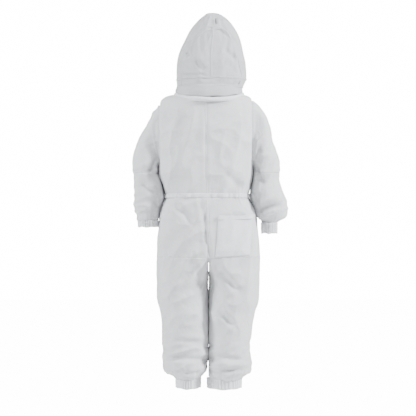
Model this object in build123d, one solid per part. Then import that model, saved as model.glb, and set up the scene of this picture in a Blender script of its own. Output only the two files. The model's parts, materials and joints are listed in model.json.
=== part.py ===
from build123d import *
import math
import os

# Beekeeping suit in its worn shape: a hooded one-piece overall of cotton cloth.
# Millimetres, +Z up, front towards -Y, the wearer's left towards +X.
# The origin is the centre of the neck ring, just above the collar seam.

# ---- driving dimensions -------------------------------------------------
CLOTH = 2.5            # wall of the cloth shells, folds included
NECK_R = 140.0         # radius of the neck zip
BODY_TOP = -6.0        # top edge of the torso panels
WAIST_Z = -436.0       # waist seam
CROTCH_Z = -700.0      # lower edge of the hip panels
FRONT_GAP = 3.0        # half the opening that the main zip closes
CENTRE_BACK = 13.0     # x of the centre back seam
SIDE_Y = -4.0          # y of the side seams
ELBOW_Z = -350.0
KNEE_Z = -930.0
BEND_GAP = 3.0         # cloth left free at each bend
SHOULDER_X = (-187.0, 216.0)   # planes between torso and sleeves, right and left
ARMHOLE = (55.0, 112.0, -185.0)  # half depth, half height, centre height
HOOD_Z = 33.0          # lower edge of the hood
HOOD_SEAM_Z = 80.0     # seam between the hood's neck panel and its back
HOOD_CENTRE = -11.0    # x of the hood's centre back seam
FACE_Y = -62.0         # plane of the front hoop
REAR_Y = 62.0          # plane of the rear hoop
ZIP_TOP, ZIP_END = -20.0, -640.0   # main zip
ZIP_Y = -154.5         # middle of the main zip's tape

# Rows are height, right edge, left edge, front edge and back edge.
BODY = [
    (-6, -141, 141, -141, 141),
    (-14, -163, 170, -144, 141),
    (-30, -181, 203, -147, 141),
    (-60, -184, 211, -148, 141),
    (-150, -184, 213, -148, 139),
    (-260, -184, 212, -148, 136),
    (-340, -183, 206, -148, 131),
    (-400, -181, 197, -148, 125),
    (-436, -180, 192, -148, 122),
    (-470, -188, 198, -148, 127),
    (-530, -200, 206, -148, 138),
    (-600, -212, 218, -148, 145),
    (-655, -219, 227, -148, 145),
    (-700, -220, 229, -143, 142),
]
LEGS = {
    "left": [
        (-704, 7, 229, -138, 140),
        (-810, 8, 229, -124, 126),
        (-915, 8, 218, -114, 116),
        (-1020, 8, 206, -108, 108),
        (-1110, 8, 202, -105, 105),
        (-1185, 14, 196, -100, 104),
        (-1228, 34, 148, -82, 86),
    ],
    "right": [
        (-704, -220, -4, -138, 140),
        (-810, -220, -4, -124, 126),
        (-915, -206, -4, -114, 116),
        (-1020, -186, -4, -108, 108),
        (-1110, -178, -4, -105, 105),
        (-1185, -187, -3, -100, 104),
        (-1228, -146, 10, -82, 86),
    ],
}
SLEEVES = {
    "left": [
        (-36, 221, 232, -30, 18),
        (-57, 220, 241, -52, 40),
        (-84, 220, 257, -68, 56),
        (-136, 220, 283, -82, 70),
        (-189, 220, 308, -86, 74),
        (-242, 220, 325, -86, 74),
        (-350, 219.5, 331, -82, 70),
        (-480, 219.5, 331, -78, 64),
        (-520, 220, 324, -68, 56),
        (-540, 221, 316, -58, 48),
    ],
    "right": [
        (-24, -206, -191, -30, 18),
        (-40, -224, -190.5, -50, 38),
        (-70, -246, -190, -68, 56),
        (-130, -268, -190, -82, 70),
        (-189, -280, -190, -86, 74),
        (-260, -294, -190, -86, 74),
        (-350, -308, -190.5, -84, 72),
        (-430, -326, -194, -84, 70),
        (-480, -348, -204, -82, 66),
        (-520, -342, -219, -70, 56),
        (-548, -304, -229, -56, 46),
    ],
}
HOOD = [
    (33, -141, 141, -141, 141),
    (50, -155, 144, -172, 140),
    (90, -160, 144, -214, 135),
    (154, -157, 140, -236, 124),
    (207, -146, 128, -238, 108),
    (260, -132, 107, -226, 86),
    (300, -112, 84, -204, 60),
    (332, -88, 58, -176, 30),
    (354, -64, 34, -146, -2),
    (370, -36, 8, -108, -42),
]
CUFFS = {"left": (-541, -572), "right": (-549, -600)}
ANKLES = {"left": (-1229, -1277), "right": (-1229, -1279)}


# ---- helpers ------------------------------------------------------------
def block(x0, x1, y0, y1, z0, z1):
    """A box given by its faces."""
    centre = ((x0 + x1) / 2, (y0 + y1) / 2, (z0 + z1) / 2)
    return Pos(*centre) * Box(x1 - x0, y1 - y0, z1 - z0)


def oval(row, grow=0.0):
    """A closed smooth outline of the cloth at one height, grown outwards by grow."""
    z, x0, x1, y0, y1 = row
    a, b = (x1 - x0) / 2 + grow, (y1 - y0) / 2 + grow
    cx, cy = (x0 + x1) / 2, (y0 + y1) / 2
    turns = [2 * math.pi * k / 16 for k in range(16)]
    points = [Vector(cx + a * math.cos(u), cy + b * math.sin(u), z) for u in turns]
    return Wire([Edge.make_spline(points, periodic=True)])


def body_of(rows, grow=0.0):
    """The solid that the cloth wraps, grown outwards by grow."""
    return Solid.make_loft([oval(row, grow) for row in rows])


def ring(r0, r1, z0, z1):
    """A flat ring round the neck."""
    tall = z1 - z0
    return Pos(0, 0, (z0 + z1) / 2) * (Cylinder(r1, tall) - Cylinder(r0, tall))


def band_rows(row, z0, z1):
    """Two rows of the same outline, for a straight band."""
    return [(z1,) + row[1:], (z0,) + row[1:]]


def write(name, shape):
    """Write one node's solid."""
    solids = shape.solids()
    if len(solids) > 1:
        solids = sorted(solids, key=lambda s: -s.volume)
        print(name, "has", len(solids), "solids")
    export_step(solids[0], f"parts/{name}.step")


# ---- torso and hips -----------------------------------------------------
def armholes():
    """The two round openings between torso and sleeves."""
    half_y, half_z, z = ARMHOLE
    cuts = []
    for x0, x1 in ((SHOULDER_X[0] - 30, SHOULDER_X[0] + 40),
                   (SHOULDER_X[1] - 45, SHOULDER_X[1] + 26)):
        plane = Plane(origin=(x0, -6, z), x_dir=(0, 1, 0), z_dir=(1, 0, 0))
        cuts.append(extrude(plane * Ellipse(half_y, half_z), x1 - x0))
    return cuts


def torso_and_hips(holes):
    """Eight panels: front and back, left and right, above and below the waist."""
    shell = body_of(BODY) - body_of(BODY, -CLOTH)
    for hole in holes:
        shell -= hole
    shell -= block(-FRONT_GAP, FRONT_GAP, -160, SIDE_Y, ZIP_END + 4, 0)
    far = 400
    for level, top, bottom in (("panel", 0, WAIST_Z), ("hip", WAIST_Z, CROTCH_Z - 1)):
        for side, x0, x1 in (("left", 0, far), ("right", -far, 0)):
            piece = shell & block(x0, x1, -far, SIDE_Y, bottom, top)
            name = f"front_panel_{side}" if level == "panel" else f"hip_front_{side}"
            write(name, piece)
        for side, x0, x1 in (("left", CENTRE_BACK, far), ("right", -far, CENTRE_BACK)):
            piece = shell & block(x0, x1, SIDE_Y, far, bottom, top)
            name = f"back_panel_{side}" if level == "panel" else f"hip_back_{side}"
            write(name, piece)


def elastic_casing(name, row, z0, z1):
    """A sewn tunnel round an edge and the elastic inside it."""
    rows = band_rows(row, z0, z1)
    room = band_rows(row, z0 + 4, z1 - 4)
    elastic = band_rows(row, z0 + 4.4, z1 - 4.4)
    tunnel = body_of(rows, 6.5) - body_of(rows, 0.6)
    tunnel -= body_of(room, 5.0) - body_of(room, 2.0)
    write(f"{name}_casing", tunnel)
    write(f"{name}_elastic", body_of(elastic, 4.6) - body_of(elastic, 2.4))


def waist():
    """The waist's tunnel and elastic, which end beside the main zip."""
    lower, upper = WAIST_Z - 17, WAIST_Z + 17
    front = block(-27, 27, -300, 0, -600, 0)
    level = block(-400, 400, -300, 300, lower, upper)
    inside = block(-400, 400, -300, 300, lower + 4, upper - 4)
    room = block(-400, 400, -300, 300, lower + 4.4, upper - 4.4)
    ends = block(-31, 31, -300, 0, -600, 0)
    tunnel = (body_of(BODY, 7.0) & level) - body_of(BODY, 1.0)
    tunnel -= (body_of(BODY, 5.4) & inside) - body_of(BODY, 2.6) - ends
    write("waist_casing", tunnel - front)
    elastic = (body_of(BODY, 5.0) & room) - body_of(BODY, 3.0)
    write("waist_elastic", elastic - block(-33, 33, -300, 0, -600, 0))


def crotch_yoke():
    """The cloth between the two legs, with a hole for each."""
    rows = band_rows(BODY[-1], CROTCH_Z - 3.6, CROTCH_Z - 1.1)
    yoke = body_of(rows)
    for side in LEGS:
        leg = LEGS[side][0]
        hole = [(CROTCH_Z,) + leg[1:], (CROTCH_Z - 5,) + leg[1:]]
        yoke -= body_of(hole, -CLOTH)
    write("crotch_yoke", yoke)


def patch_pocket(name, x0, x1, y0, y1, z0, z1):
    """A pocket sewn on three sides, open at its top edge."""
    outer = body_of(BODY, 9.0) & block(x0, x1, y0, y1, z0, z1)
    room = body_of(BODY, 7.0) & block(x0 + 5, x1 - 5, y0, y1, z0 + 5, z1 + 1)
    write(name, outer - body_of(BODY, 0.4) - room)


def pocket_hem(x0, x1, z0, z1):
    """The turned hem along the back pocket's mouth."""
    hem = body_of(BODY, 11.0) - body_of(BODY, 9.1)
    write("back_pocket_hem", hem & block(x0, x1, 0, 300, z0, z1))


# ---- main zip -----------------------------------------------------------
def main_zip():
    """Facings, tapes, rows of teeth and the bottom stop."""
    for side, s in (("left", 1), ("right", -1)):
        def strip(xa, xb, y0, y1, z0=ZIP_END, z1=ZIP_TOP):
            return block(min(s * xa, s * xb), max(s * xa, s * xb), y0, y1, z0, z1)
        write(f"placket_{side}", strip(6.5, 24, ZIP_Y + 0.5, -148.6))
        write(f"main_zip_tape_{side}", strip(2.4, 14, ZIP_Y - 0.5, ZIP_Y + 0.5))
        write(f"main_zip_teeth_{side}", strip(0.7, 2.4, ZIP_Y - 1.5, ZIP_Y + 1.5))
    write("main_zip_stop", block(-3.4, 3.4, ZIP_Y - 2.2, ZIP_Y + 2.2,
                                 ZIP_END - 5.5, ZIP_END - 0.5))


def slider_body(front, back, rib, half, z0, z1):
    """A slider: two plates, the rib between them and a bridge for the pull."""
    plates = block(-half, half, front - 2.2, front, z0, z1)
    plates += block(-half, half, back, back + 2.0, z0, z1)
    plates += rib
    mid = (z0 + z1) / 2
    bridge = block(-2, 2, front - 7.6, front - 2.2, mid - 2.4, mid + 2.4)
    hole = Pos(0, front - 5.2, mid) * Rot(0, 90, 0) * Cylinder(1.1, 10)
    return plates + bridge - hole


def pull_tab(y, z, length):
    """A pull: a pin through the slider's bridge, two arms and a flat tab."""
    tab = Pos(0, y, z) * Rot(0, 90, 0) * Cylinder(0.7, 9.2)
    for s in (-1, 1):
        tab += block(min(s * 2.9, s * 4.6), max(s * 2.9, s * 4.6), y - 0.8, y + 0.8,
                     z - 8.5, z + 0.6)
    tab += block(-4.6, 4.6, y - 0.8, y + 0.8, z - length, z - 8)
    return tab


def main_slider():
    """The main zip's slider at its closed end, with its pull."""
    z0, z1 = ZIP_TOP - 20, ZIP_TOP - 6
    rib = block(-0.35, 0.35, ZIP_Y - 2.6, ZIP_Y + 2.6, z0 + 3, z1 - 1)
    slider = slider_body(ZIP_Y - 2.5, ZIP_Y + 2.5, rib, 5, z0, z1)
    write("main_slider", slider)
    write("main_pull", pull_tab(ZIP_Y - 7.7, (z0 + z1) / 2, 40))


# ---- neck zip -----------------------------------------------------------
def neck_zip():
    """The half of the neck zip sewn to the suit, its collar and the link behind."""
    write("neck_zip_tape", ring(NECK_R - 1, NECK_R, BODY_TOP + 0.1, 18))
    write("neck_zip_teeth", ring(NECK_R - 1.8, NECK_R + 0.8, 18, 20))
    write("hood_zip_teeth", ring(NECK_R - 1.8, NECK_R + 0.8, 21.8, 23.8))
    write("hood_zip_tape", ring(NECK_R - 1, NECK_R, 23.8, HOOD_Z - 0.1))
    collar = ring(NECK_R + 1.2, NECK_R + 5.2, BODY_TOP + 1, 12)
    write("collar_band", fillet(collar.edges(), 1.6))


def neck_sliders():
    """Two sliders that meet at the throat, each with its pull."""
    z0, z1 = 14.5, 27
    for side, turn in (("left", 5), ("right", -5)):
        rib = block(-3, 3, -NECK_R - 2.2, -NECK_R + 3.2, 20.4, 21.4)
        slider = slider_body(-NECK_R - 2.0, -NECK_R + 3.0, rib, 4.6, z0, z1)
        write(f"neck_slider_{side}", Rot(0, 0, turn) * slider)
        tab = pull_tab(-NECK_R - 7.2, (z0 + z1) / 2, 22)
        write(f"neck_pull_{side}", Rot(0, 0, turn) * tab)


# ---- hood ---------------------------------------------------------------
def hood():
    """The hood's panels, its veil, and the two hoops in their casings."""
    outer, inner = body_of(HOOD), body_of(HOOD[:-1] + [(366, -34, 6, -105, -45)], -CLOTH)
    shell = outer - inner
    far, top = 400, 500
    write("hood_back_left",
          shell & block(HOOD_CENTRE, far, REAR_Y, far, HOOD_SEAM_Z, top))
    write("hood_back_right",
          shell & block(-far, HOOD_CENTRE, REAR_Y, far, HOOD_SEAM_Z, top))
    write("hood_crown", shell & block(-far, far, FACE_Y, REAR_Y, HOOD_SEAM_Z, top))
    write("face_veil", shell & block(-far, far, -far, FACE_Y, HOOD_SEAM_Z, top))
    write("hood_neck_panel", shell & block(-far, far, FACE_Y, far, 0, HOOD_SEAM_Z))
    write("chin_bib", shell & block(-far, far, -far, FACE_Y, 0, HOOD_SEAM_Z))
    tall = HOOD[:-1] + [(373,) + HOOD[-1][1:]]
    low = HOOD[:-1] + [(364,) + HOOD[-1][1:]]
    lower = HOOD[:-1] + [(361,) + HOOD[-1][1:]]
    casing = body_of(tall, 3.2) - body_of(HOOD, 0.3)
    wire = body_of(low, -CLOTH - 0.6) - body_of(lower, -CLOTH - 3.2)
    for name, y in (("front", FACE_Y), ("rear", REAR_Y)):
        write(f"{name}_hoop_casing", casing & block(-far, far, y - 6, y + 6, 36, top))
        write(f"{name}_hoop", wire & block(-far, far, y - 1.6, y + 1.6, 38, top))


# ---- sleeves and legs ---------------------------------------------------
def sleeves(holes):
    """Upper and lower sleeves with a free gap at the elbow, and the cuffs."""
    far = 900
    for side, rows in SLEEVES.items():
        tube = body_of(rows) - body_of(rows[1:], -CLOTH)
        for hole in holes:
            tube -= hole
        write(f"upper_sleeve_{side}", tube & block(-far, far, -far, far, ELBOW_Z, 0))
        write(f"lower_sleeve_{side}",
              tube & block(-far, far, -far, far, -far, ELBOW_Z - BEND_GAP))
        z1, z0 = CUFFS[side]
        row = rows[-1]
        inset = (row[0], row[1] + 4, row[2] - 4, row[3] + 4, row[4] - 4)
        elastic_casing(f"cuff_{side}", inset, z0, z1)


def legs():
    """Thighs and shins with a free gap at the knee, and the ankle casings."""
    far = 1500
    for side, rows in LEGS.items():
        tube = body_of(rows) - body_of(rows, -CLOTH)
        write(f"thigh_{side}", tube & block(-far, far, -far, far, KNEE_Z, 0))
        write(f"shin_{side}",
              tube & block(-far, far, -far, far, -far, KNEE_Z - BEND_GAP))
        z1, z0 = ANKLES[side]
        row = rows[-1]
        inset = (row[0], row[1] + 4, row[2] - 4, row[3] + 4, row[4] - 4)
        elastic_casing(f"ankle_{side}", inset, z0, z1)


def main():
    os.makedirs("parts", exist_ok=True)
    holes = armholes()
    torso_and_hips(holes)
    waist()
    crotch_yoke()
    patch_pocket("chest_pocket", 62, 172, -300, 0, -310, -175)
    patch_pocket("back_pocket", -182, -38, 0, 300, -692, -520)
    pocket_hem(-182, -38, -540, -520.5)
    main_zip()
    main_slider()
    neck_zip()
    neck_sliders()
    hood()
    sleeves(holes)
    legs()


main()
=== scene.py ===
"""Looks of a hooded beekeeping suit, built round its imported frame."""

import json
import logging
import math
from dataclasses import dataclass, field
from enum import Enum

import bmesh
import bpy
import numpy as np
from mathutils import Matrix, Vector, noise
from mathutils.bvhtree import BVHTree

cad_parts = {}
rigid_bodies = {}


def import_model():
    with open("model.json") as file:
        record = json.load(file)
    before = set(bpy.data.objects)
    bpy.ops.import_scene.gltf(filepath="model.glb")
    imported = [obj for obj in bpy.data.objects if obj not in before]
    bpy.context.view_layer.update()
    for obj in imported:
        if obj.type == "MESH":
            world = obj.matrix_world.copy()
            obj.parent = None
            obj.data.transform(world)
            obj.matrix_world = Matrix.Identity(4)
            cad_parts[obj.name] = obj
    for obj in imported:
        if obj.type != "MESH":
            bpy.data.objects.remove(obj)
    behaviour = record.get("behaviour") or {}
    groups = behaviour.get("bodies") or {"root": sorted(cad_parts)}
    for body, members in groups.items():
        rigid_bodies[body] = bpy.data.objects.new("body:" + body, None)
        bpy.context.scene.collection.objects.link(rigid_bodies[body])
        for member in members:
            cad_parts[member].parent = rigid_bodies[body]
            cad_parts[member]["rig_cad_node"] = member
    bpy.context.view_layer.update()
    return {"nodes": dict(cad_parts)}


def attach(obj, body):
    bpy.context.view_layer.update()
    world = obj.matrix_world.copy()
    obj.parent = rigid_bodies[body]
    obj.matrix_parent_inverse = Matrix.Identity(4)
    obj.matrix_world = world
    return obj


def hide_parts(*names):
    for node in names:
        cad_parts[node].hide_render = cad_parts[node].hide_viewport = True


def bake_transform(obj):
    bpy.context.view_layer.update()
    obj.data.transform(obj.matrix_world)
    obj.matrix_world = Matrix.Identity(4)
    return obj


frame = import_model()
LOG = logging.getLogger("suit")
MM = 0.001
ELBOW = -0.334
WAIST = -436
STRETCH = 8.0

Row = tuple[float, float, float, float, float]


class Side(Enum):
    """The wearer's side; the value is the sign of x."""

    LEFT = 1
    RIGHT = -1

    @property
    def word(self) -> str:
        """The side as it stands in node names."""
        return self.name.lower()


# ------------------------------------------------------------------ helpers
def smooth(t: float) -> float:
    """Smooth step of a value clamped to 0..1."""
    t = min(max(t, 0.0), 1.0)
    return t * t * (3.0 - 2.0 * t)


def monotone(xs: list[float], ys: list[float], x: float) -> float:
    """Monotone cubic interpolation through given points.

    Args:
        xs: Increasing positions.
        ys: Values at those positions.
        x: Where to read the curve.

    Returns:
        The curve's value, held flat beyond its ends.
    """
    if x <= xs[0]:
        return ys[0]
    if x >= xs[-1]:
        return ys[-1]
    n = len(xs)
    h = [xs[i + 1] - xs[i] for i in range(n - 1)]
    d = [(ys[i + 1] - ys[i]) / h[i] for i in range(n - 1)]
    m = [d[0]] + [0.0 if d[i - 1] * d[i] <= 0 else 2 * d[i - 1] * d[i] / (d[i - 1] + d[i])
                  for i in range(1, n - 1)] + [d[-1]]
    i = max(k for k in range(n - 1) if xs[k] <= x)
    t = (x - xs[i]) / h[i]
    a, b = (1 + 2 * t) * (1 - t) ** 2, t * (1 - t) ** 2
    c, e = t * t * (3 - 2 * t), t * t * (t - 1)
    return a * ys[i] + b * h[i] * m[i] + c * ys[i + 1] + e * h[i] * m[i + 1]


def read_rows(rows: list[Row], z: float) -> tuple[float, float, float, float]:
    """Centre and half sizes of a limb's outline at one height.

    Args:
        rows: Height, low x, high x, front y and back y, from the top down, in mm.
        z: Height in mm.

    Returns:
        Centre x, centre y, half width and half depth in mm.
    """
    zs = [-r[0] for r in rows]
    x0, x1, y0, y1 = (monotone(zs, [r[k] for r in rows], -z) for k in range(1, 5))
    return (x0 + x1) / 2, (y0 + y1) / 2, (x1 - x0) / 2, (y1 - y0) / 2


def new_mesh(name: str, points: np.ndarray, faces: list[tuple[int, ...]],
             materials: list[bpy.types.Material], index: list[int] | None = None,
             uvs: list[list[tuple[float, float]]] | None = None) -> bpy.types.Object:
    """Make a mesh object at the origin.

    Args:
        name: The piece's name.
        points: Vertex positions in metres.
        faces: Vertex indices of each face.
        materials: The material slots.
        index: A slot number for each face.
        uvs: Cloth coordinates for each face's corners, in metres.

    Returns:
        The new object, smooth shaded.
    """
    mesh = bpy.data.meshes.new(name)
    mesh.from_pydata([tuple(p) for p in points], [], faces)
    for material in materials:
        mesh.materials.append(material)
    if index is not None:
        mesh.polygons.foreach_set("material_index", index)
    layer = mesh.uv_layers.new(name="cloth")
    if uvs is not None:
        flat = [c for corner in uvs for uv in corner for c in uv]
        layer.data.foreach_set("uv", flat)
    mesh.polygons.foreach_set("use_smooth", [True] * len(mesh.polygons))
    mesh.update()
    obj = bpy.data.objects.new(name, mesh)
    bpy.context.scene.collection.objects.link(obj)
    return obj


def bake_modifiers(obj: bpy.types.Object) -> bpy.types.Object:
    """Turn an object's modifiers into plain mesh and remove them."""
    graph = bpy.context.evaluated_depsgraph_get()
    mesh = bpy.data.meshes.new_from_object(obj.evaluated_get(graph))
    obj.modifiers.clear()
    obj.data = mesh
    return obj


def coords(obj: bpy.types.Object) -> np.ndarray:
    """Vertex positions as an array."""
    out = np.empty(len(obj.data.vertices) * 3)
    obj.data.vertices.foreach_get("co", out)
    return out.reshape(-1, 3)


def set_coords(obj: bpy.types.Object, points: np.ndarray) -> None:
    """Write vertex positions back."""
    obj.data.vertices.foreach_set("co", points.ravel())
    obj.data.update()


def thicken(obj: bpy.types.Object, wall: float, offset: float = -1.0) -> bpy.types.Object:
    """Give a cloth sheet its wall, inwards by default."""
    mod = obj.modifiers.new("wall", "SOLIDIFY")
    mod.thickness, mod.offset, mod.use_even_offset = wall, offset, False
    return bake_modifiers(obj)


def normals_of(obj: bpy.types.Object) -> np.ndarray:
    """Vertex normals as an array."""
    out = np.empty(len(obj.data.vertices) * 3)
    obj.data.vertices.foreach_get("normal", out)
    return out.reshape(-1, 3)


def copy_of(obj: bpy.types.Object) -> bpy.types.Object:
    """A copy of an object with a mesh of its own."""
    twin = obj.copy()
    twin.data = obj.data.copy()
    bpy.context.scene.collection.objects.link(twin)
    return twin


def round_off(obj: bpy.types.Object) -> bpy.types.Object:
    """Subdivide a net once, as plain mesh."""
    mod = obj.modifiers.new("round", "SUBSURF")
    mod.levels = mod.render_levels = 1
    mod.uv_smooth = "NONE"
    return bake_modifiers(obj)


def face_outwards(obj: bpy.types.Object) -> bpy.types.Object:
    """Turn every face of a mesh to look outwards."""
    work = bmesh.new()
    work.from_mesh(obj.data)
    bmesh.ops.recalc_face_normals(work, faces=work.faces)
    work.to_mesh(obj.data)
    work.free()
    return obj


def search_tree(obj: bpy.types.Object) -> BVHTree:
    """A tree for casting rays at a mesh."""
    mesh = obj.data
    return BVHTree.FromPolygons([v.co for v in mesh.vertices],
                                [tuple(p.vertices) for p in mesh.polygons])


def squircle(u: float, a: float, b: float, n: float) -> tuple[float, float]:
    """A point of a rounded outline, from its front round by the left."""
    sx, cz = math.sin(u), math.cos(u)
    return (a * math.copysign(abs(sx) ** (2 / n), sx),
            -b * math.copysign(abs(cz) ** (2 / n), cz))


def grid_cells(rows: int, columns: int, du: float, dv: float) -> tuple[list, list]:
    """Faces and cloth coordinates of a grid of points, row by row downwards."""
    w = columns + 1
    faces = [(i * w + j, (i + 1) * w + j, (i + 1) * w + j + 1, i * w + j + 1)
             for i in range(rows) for j in range(columns)]
    return faces, [[(k % w * du, -(k // w) * dv) for k in quad] for quad in faces]


def loft(name: str, points: list, around: int, run: np.ndarray, step: float,
         material: bpy.types.Material, closed: bool) -> bpy.types.Object:
    """Join rings of points into a tube.

    Args:
        name: The piece's name.
        points: The rings' points one after another, in metres.
        around: How many points a ring has.
        run: The distance along the tube at each ring, with one more where it closes.
        step: The cloth's width between two points of a ring.
        material: Its finish.
        closed: Whether the last ring joins the first.

    Returns:
        The tube, with flat ends where it isn't closed.
    """
    m, count = around, len(points) // around
    faces, uvs = [], []
    for k in range(count if closed else count - 1):
        l = (k + 1) % count
        for q in range(m):
            r = (q + 1) % m
            faces.append((k * m + q, k * m + r, l * m + r, l * m + q))
            uvs.append([(run[k], q * step), (run[k], (q + 1) * step),
                        (run[k + 1], (q + 1) * step), (run[k + 1], q * step)])
    if not closed:
        for cap in (tuple(reversed(range(m))), tuple(range((count - 1) * m, count * m))):
            faces.append(cap)
            uvs.append([(0.0, 0.0)] * m)
    return face_outwards(new_mesh(name, np.array(points), faces, [material], None, uvs))


def sew(obj: bpy.types.Object, body: str, slot: str, *nodes: str) -> None:
    """Tie a piece to its body, in place of the nodes it stands for; the slot is not used."""
    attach(obj, body)
    if nodes:
        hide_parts(*nodes)


# ---------------------------------------------------------------- materials
class NodeWork:
    """A node tree under construction."""

    tree: bpy.types.NodeTree

    def node(self, kind: str, **settings: object) -> bpy.types.Node:
        """Add a node with given settings."""
        node = self.tree.nodes.new(kind)
        for key, value in settings.items():
            setattr(node, key, value)
        return node

    def link(self, a: bpy.types.NodeSocket, b: bpy.types.NodeSocket) -> None:
        """Join two sockets."""
        self.tree.links.new(a, b)

    def maths(self, operation: str, a: object, b: object = None) -> bpy.types.NodeSocket:
        """Add a Math node fed by sockets or numbers and return its output."""
        node = self.node("ShaderNodeMath", operation=operation)
        for k, value in enumerate((a, b)):
            if value is None:
                continue
            if isinstance(value, (int, float)):
                node.inputs[k].default_value = value
            else:
                self.link(value, node.inputs[k])
        return node.outputs[0]

    def noise(self, vector: bpy.types.NodeSocket, scale: float = 5.0, detail: float = 2.0,
              distortion: float = 0.0) -> bpy.types.Node:
        """Add a Noise node read at the given place."""
        node = self.node("ShaderNodeTexNoise")
        for label, value in (("Scale", scale), ("Detail", detail), ("Distortion", distortion)):
            node.inputs[label].default_value = value
        self.link(vector, node.inputs["Vector"])
        return node


class NodeGroup(NodeWork):
    """A shader node group."""

    def __init__(self, name: str, inputs: dict[str, float], outputs: tuple[str, str]) -> None:
        """Make the group with float inputs and outputs."""
        self.tree = bpy.data.node_groups.new(name, "ShaderNodeTree")
        for label, value in inputs.items():
            socket = self.tree.interface.new_socket(label, in_out="INPUT",
                                                    socket_type="NodeSocketFloat")
            socket.default_value = value
        for label in outputs:
            self.tree.interface.new_socket(label, in_out="OUTPUT", socket_type="NodeSocketFloat")
        self.source = self.tree.nodes.new("NodeGroupInput")
        self.sink = self.tree.nodes.new("NodeGroupOutput")


class Paint(NodeWork):
    """A material's node tree."""

    def __init__(self, name: str) -> None:
        """Make the material with a Principled shader."""
        self.material = bpy.data.materials.new(name)
        self.material.use_nodes = True
        self.tree = self.material.node_tree
        self.shader = self.tree.nodes["Principled BSDF"]

    def tint(self, colour: tuple[float, float, float], low: float, high: float,
             factor: bpy.types.NodeSocket) -> None:
        """Let the colour drift between a darker and a lighter shade."""
        mix = self.node("ShaderNodeMix", data_type="RGBA")
        mix.inputs["A"].default_value = (*(c * low for c in colour), 1)
        mix.inputs["B"].default_value = (*(min(1.0, c * high) for c in colour), 1)
        self.link(factor, mix.inputs["Factor"])
        self.link(mix.outputs["Result"], self.shader.inputs["Base Color"])

    def roughness(self, low: float, high: float, factor: bpy.types.NodeSocket) -> None:
        """Let the roughness drift between two values."""
        span = self.node("ShaderNodeMapRange")
        span.inputs["To Min"].default_value = low
        span.inputs["To Max"].default_value = min(1.0, high)
        self.link(factor, span.inputs["Value"])
        self.link(span.outputs[0], self.shader.inputs["Roughness"])

    def bumps(self, *layers: tuple[bpy.types.NodeSocket, float, float]) -> None:
        """Add layers of bump, each a height, a distance in mm and a strength."""
        under = None
        for height, distance, strength in layers:
            bump = self.node("ShaderNodeBump")
            bump.inputs["Distance"].default_value = distance * MM
            bump.inputs["Strength"].default_value = strength
            self.link(height, bump.inputs["Height"])
            if under:
                self.link(under, bump.inputs["Normal"])
            under = bump.outputs["Normal"]
        self.link(under, self.shader.inputs["Normal"])


def weave_group() -> bpy.types.NodeTree:
    """Twill weave read from the cloth's own coordinates: height, and painted shade that darkens the
    weave's hollows.
    """
    g = NodeGroup("twill weave", {"Pitch": 0.9, "Slub": 0.4}, ("Height", "Shade"))
    uv = g.node("ShaderNodeUVMap", uv_map="cloth")
    split = g.node("ShaderNodeSeparateXYZ")
    g.link(uv.outputs[0], split.inputs[0])
    turns = g.maths("DIVIDE", 2 * math.pi * 1000, g.source.outputs["Pitch"])
    across = g.maths("SINE", g.maths("MULTIPLY", split.outputs[0], turns))
    along = g.maths("SINE", g.maths("MULTIPLY", split.outputs[1], turns))
    slant = g.maths("MULTIPLY", g.maths("ADD", split.outputs[0], split.outputs[1]), turns)
    twill = g.maths("SINE", g.maths("MULTIPLY", slant, 0.5))
    body = g.maths("ADD", g.maths("MULTIPLY", across, along), twill)
    slub = g.noise(uv.outputs[0], 160)
    lumps = g.maths("MULTIPLY", slub.outputs[0], g.source.outputs["Slub"])
    height = g.maths("ADD", g.maths("MULTIPLY", body, 0.25), lumps)
    g.link(height, g.sink.inputs["Height"])
    # Painted shade: the colour follows the thread relief, darker where the threads dip.
    g.link(g.maths("MULTIPLY", body, 0.03), g.sink.inputs["Shade"])
    return g.tree


def wear_group() -> bpy.types.NodeTree:
    """Soft laundering marks: a broad tone that drifts over the surface, and fine lint."""
    g = NodeGroup("laundered", {"Size": 6.0, "Depth": 0.1}, ("Tone", "Crumple"))
    place = g.node("ShaderNodeTexCoord").outputs["Object"]
    broad, fine = g.noise(place, detail=4), g.noise(place, 38, 3, 0.6)
    g.link(g.source.outputs["Size"], broad.inputs["Scale"])
    tone = g.maths("SUBTRACT", broad.outputs[0], 0.5)
    g.link(g.maths("MULTIPLY", tone, g.source.outputs["Depth"]), g.sink.inputs["Tone"])
    g.link(fine.outputs[0], g.sink.inputs["Crumple"])
    return g.tree


@dataclass(frozen=True)
class ClothFinish:
    """Woven cotton: colour, thread pitch in mm, crumple height in mm and roughness."""

    name: str
    colour: tuple[float, float, float]
    pitch: float = 0.9
    crumple: float = 2.2
    tone: float = 0.16
    rough: float = 0.86
    sheen: float = 0.15

    def build(self, weave: bpy.types.NodeTree, wear: bpy.types.NodeTree) -> bpy.types.Material:
        """Make the material.

        Args:
            weave: The shared weave group.
            wear: The shared laundering group.

        Returns:
            The finished material.
        """
        p = Paint(self.name)
        p.shader.inputs["Sheen Weight"].default_value = self.sheen
        p.shader.inputs["Specular IOR Level"].default_value = 0.25
        threads = p.node("ShaderNodeGroup", node_tree=weave)
        marks = p.node("ShaderNodeGroup", node_tree=wear)
        threads.inputs["Pitch"].default_value = self.pitch
        marks.inputs["Depth"].default_value = self.tone
        # Random laundering tone plus the weave's painted shade in its hollows.
        shade = p.maths("ADD", marks.outputs["Tone"], threads.outputs["Shade"])
        p.tint(self.colour, 0.80, 1.12, p.maths("ADD", shade, 0.5))
        p.roughness(self.rough - 0.08, self.rough + 0.08, marks.outputs["Crumple"])
        p.bumps((marks.outputs["Crumple"], self.crumple, 1.0),
                (threads.outputs["Height"], 0.12, 0.5))
        return p.material


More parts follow.
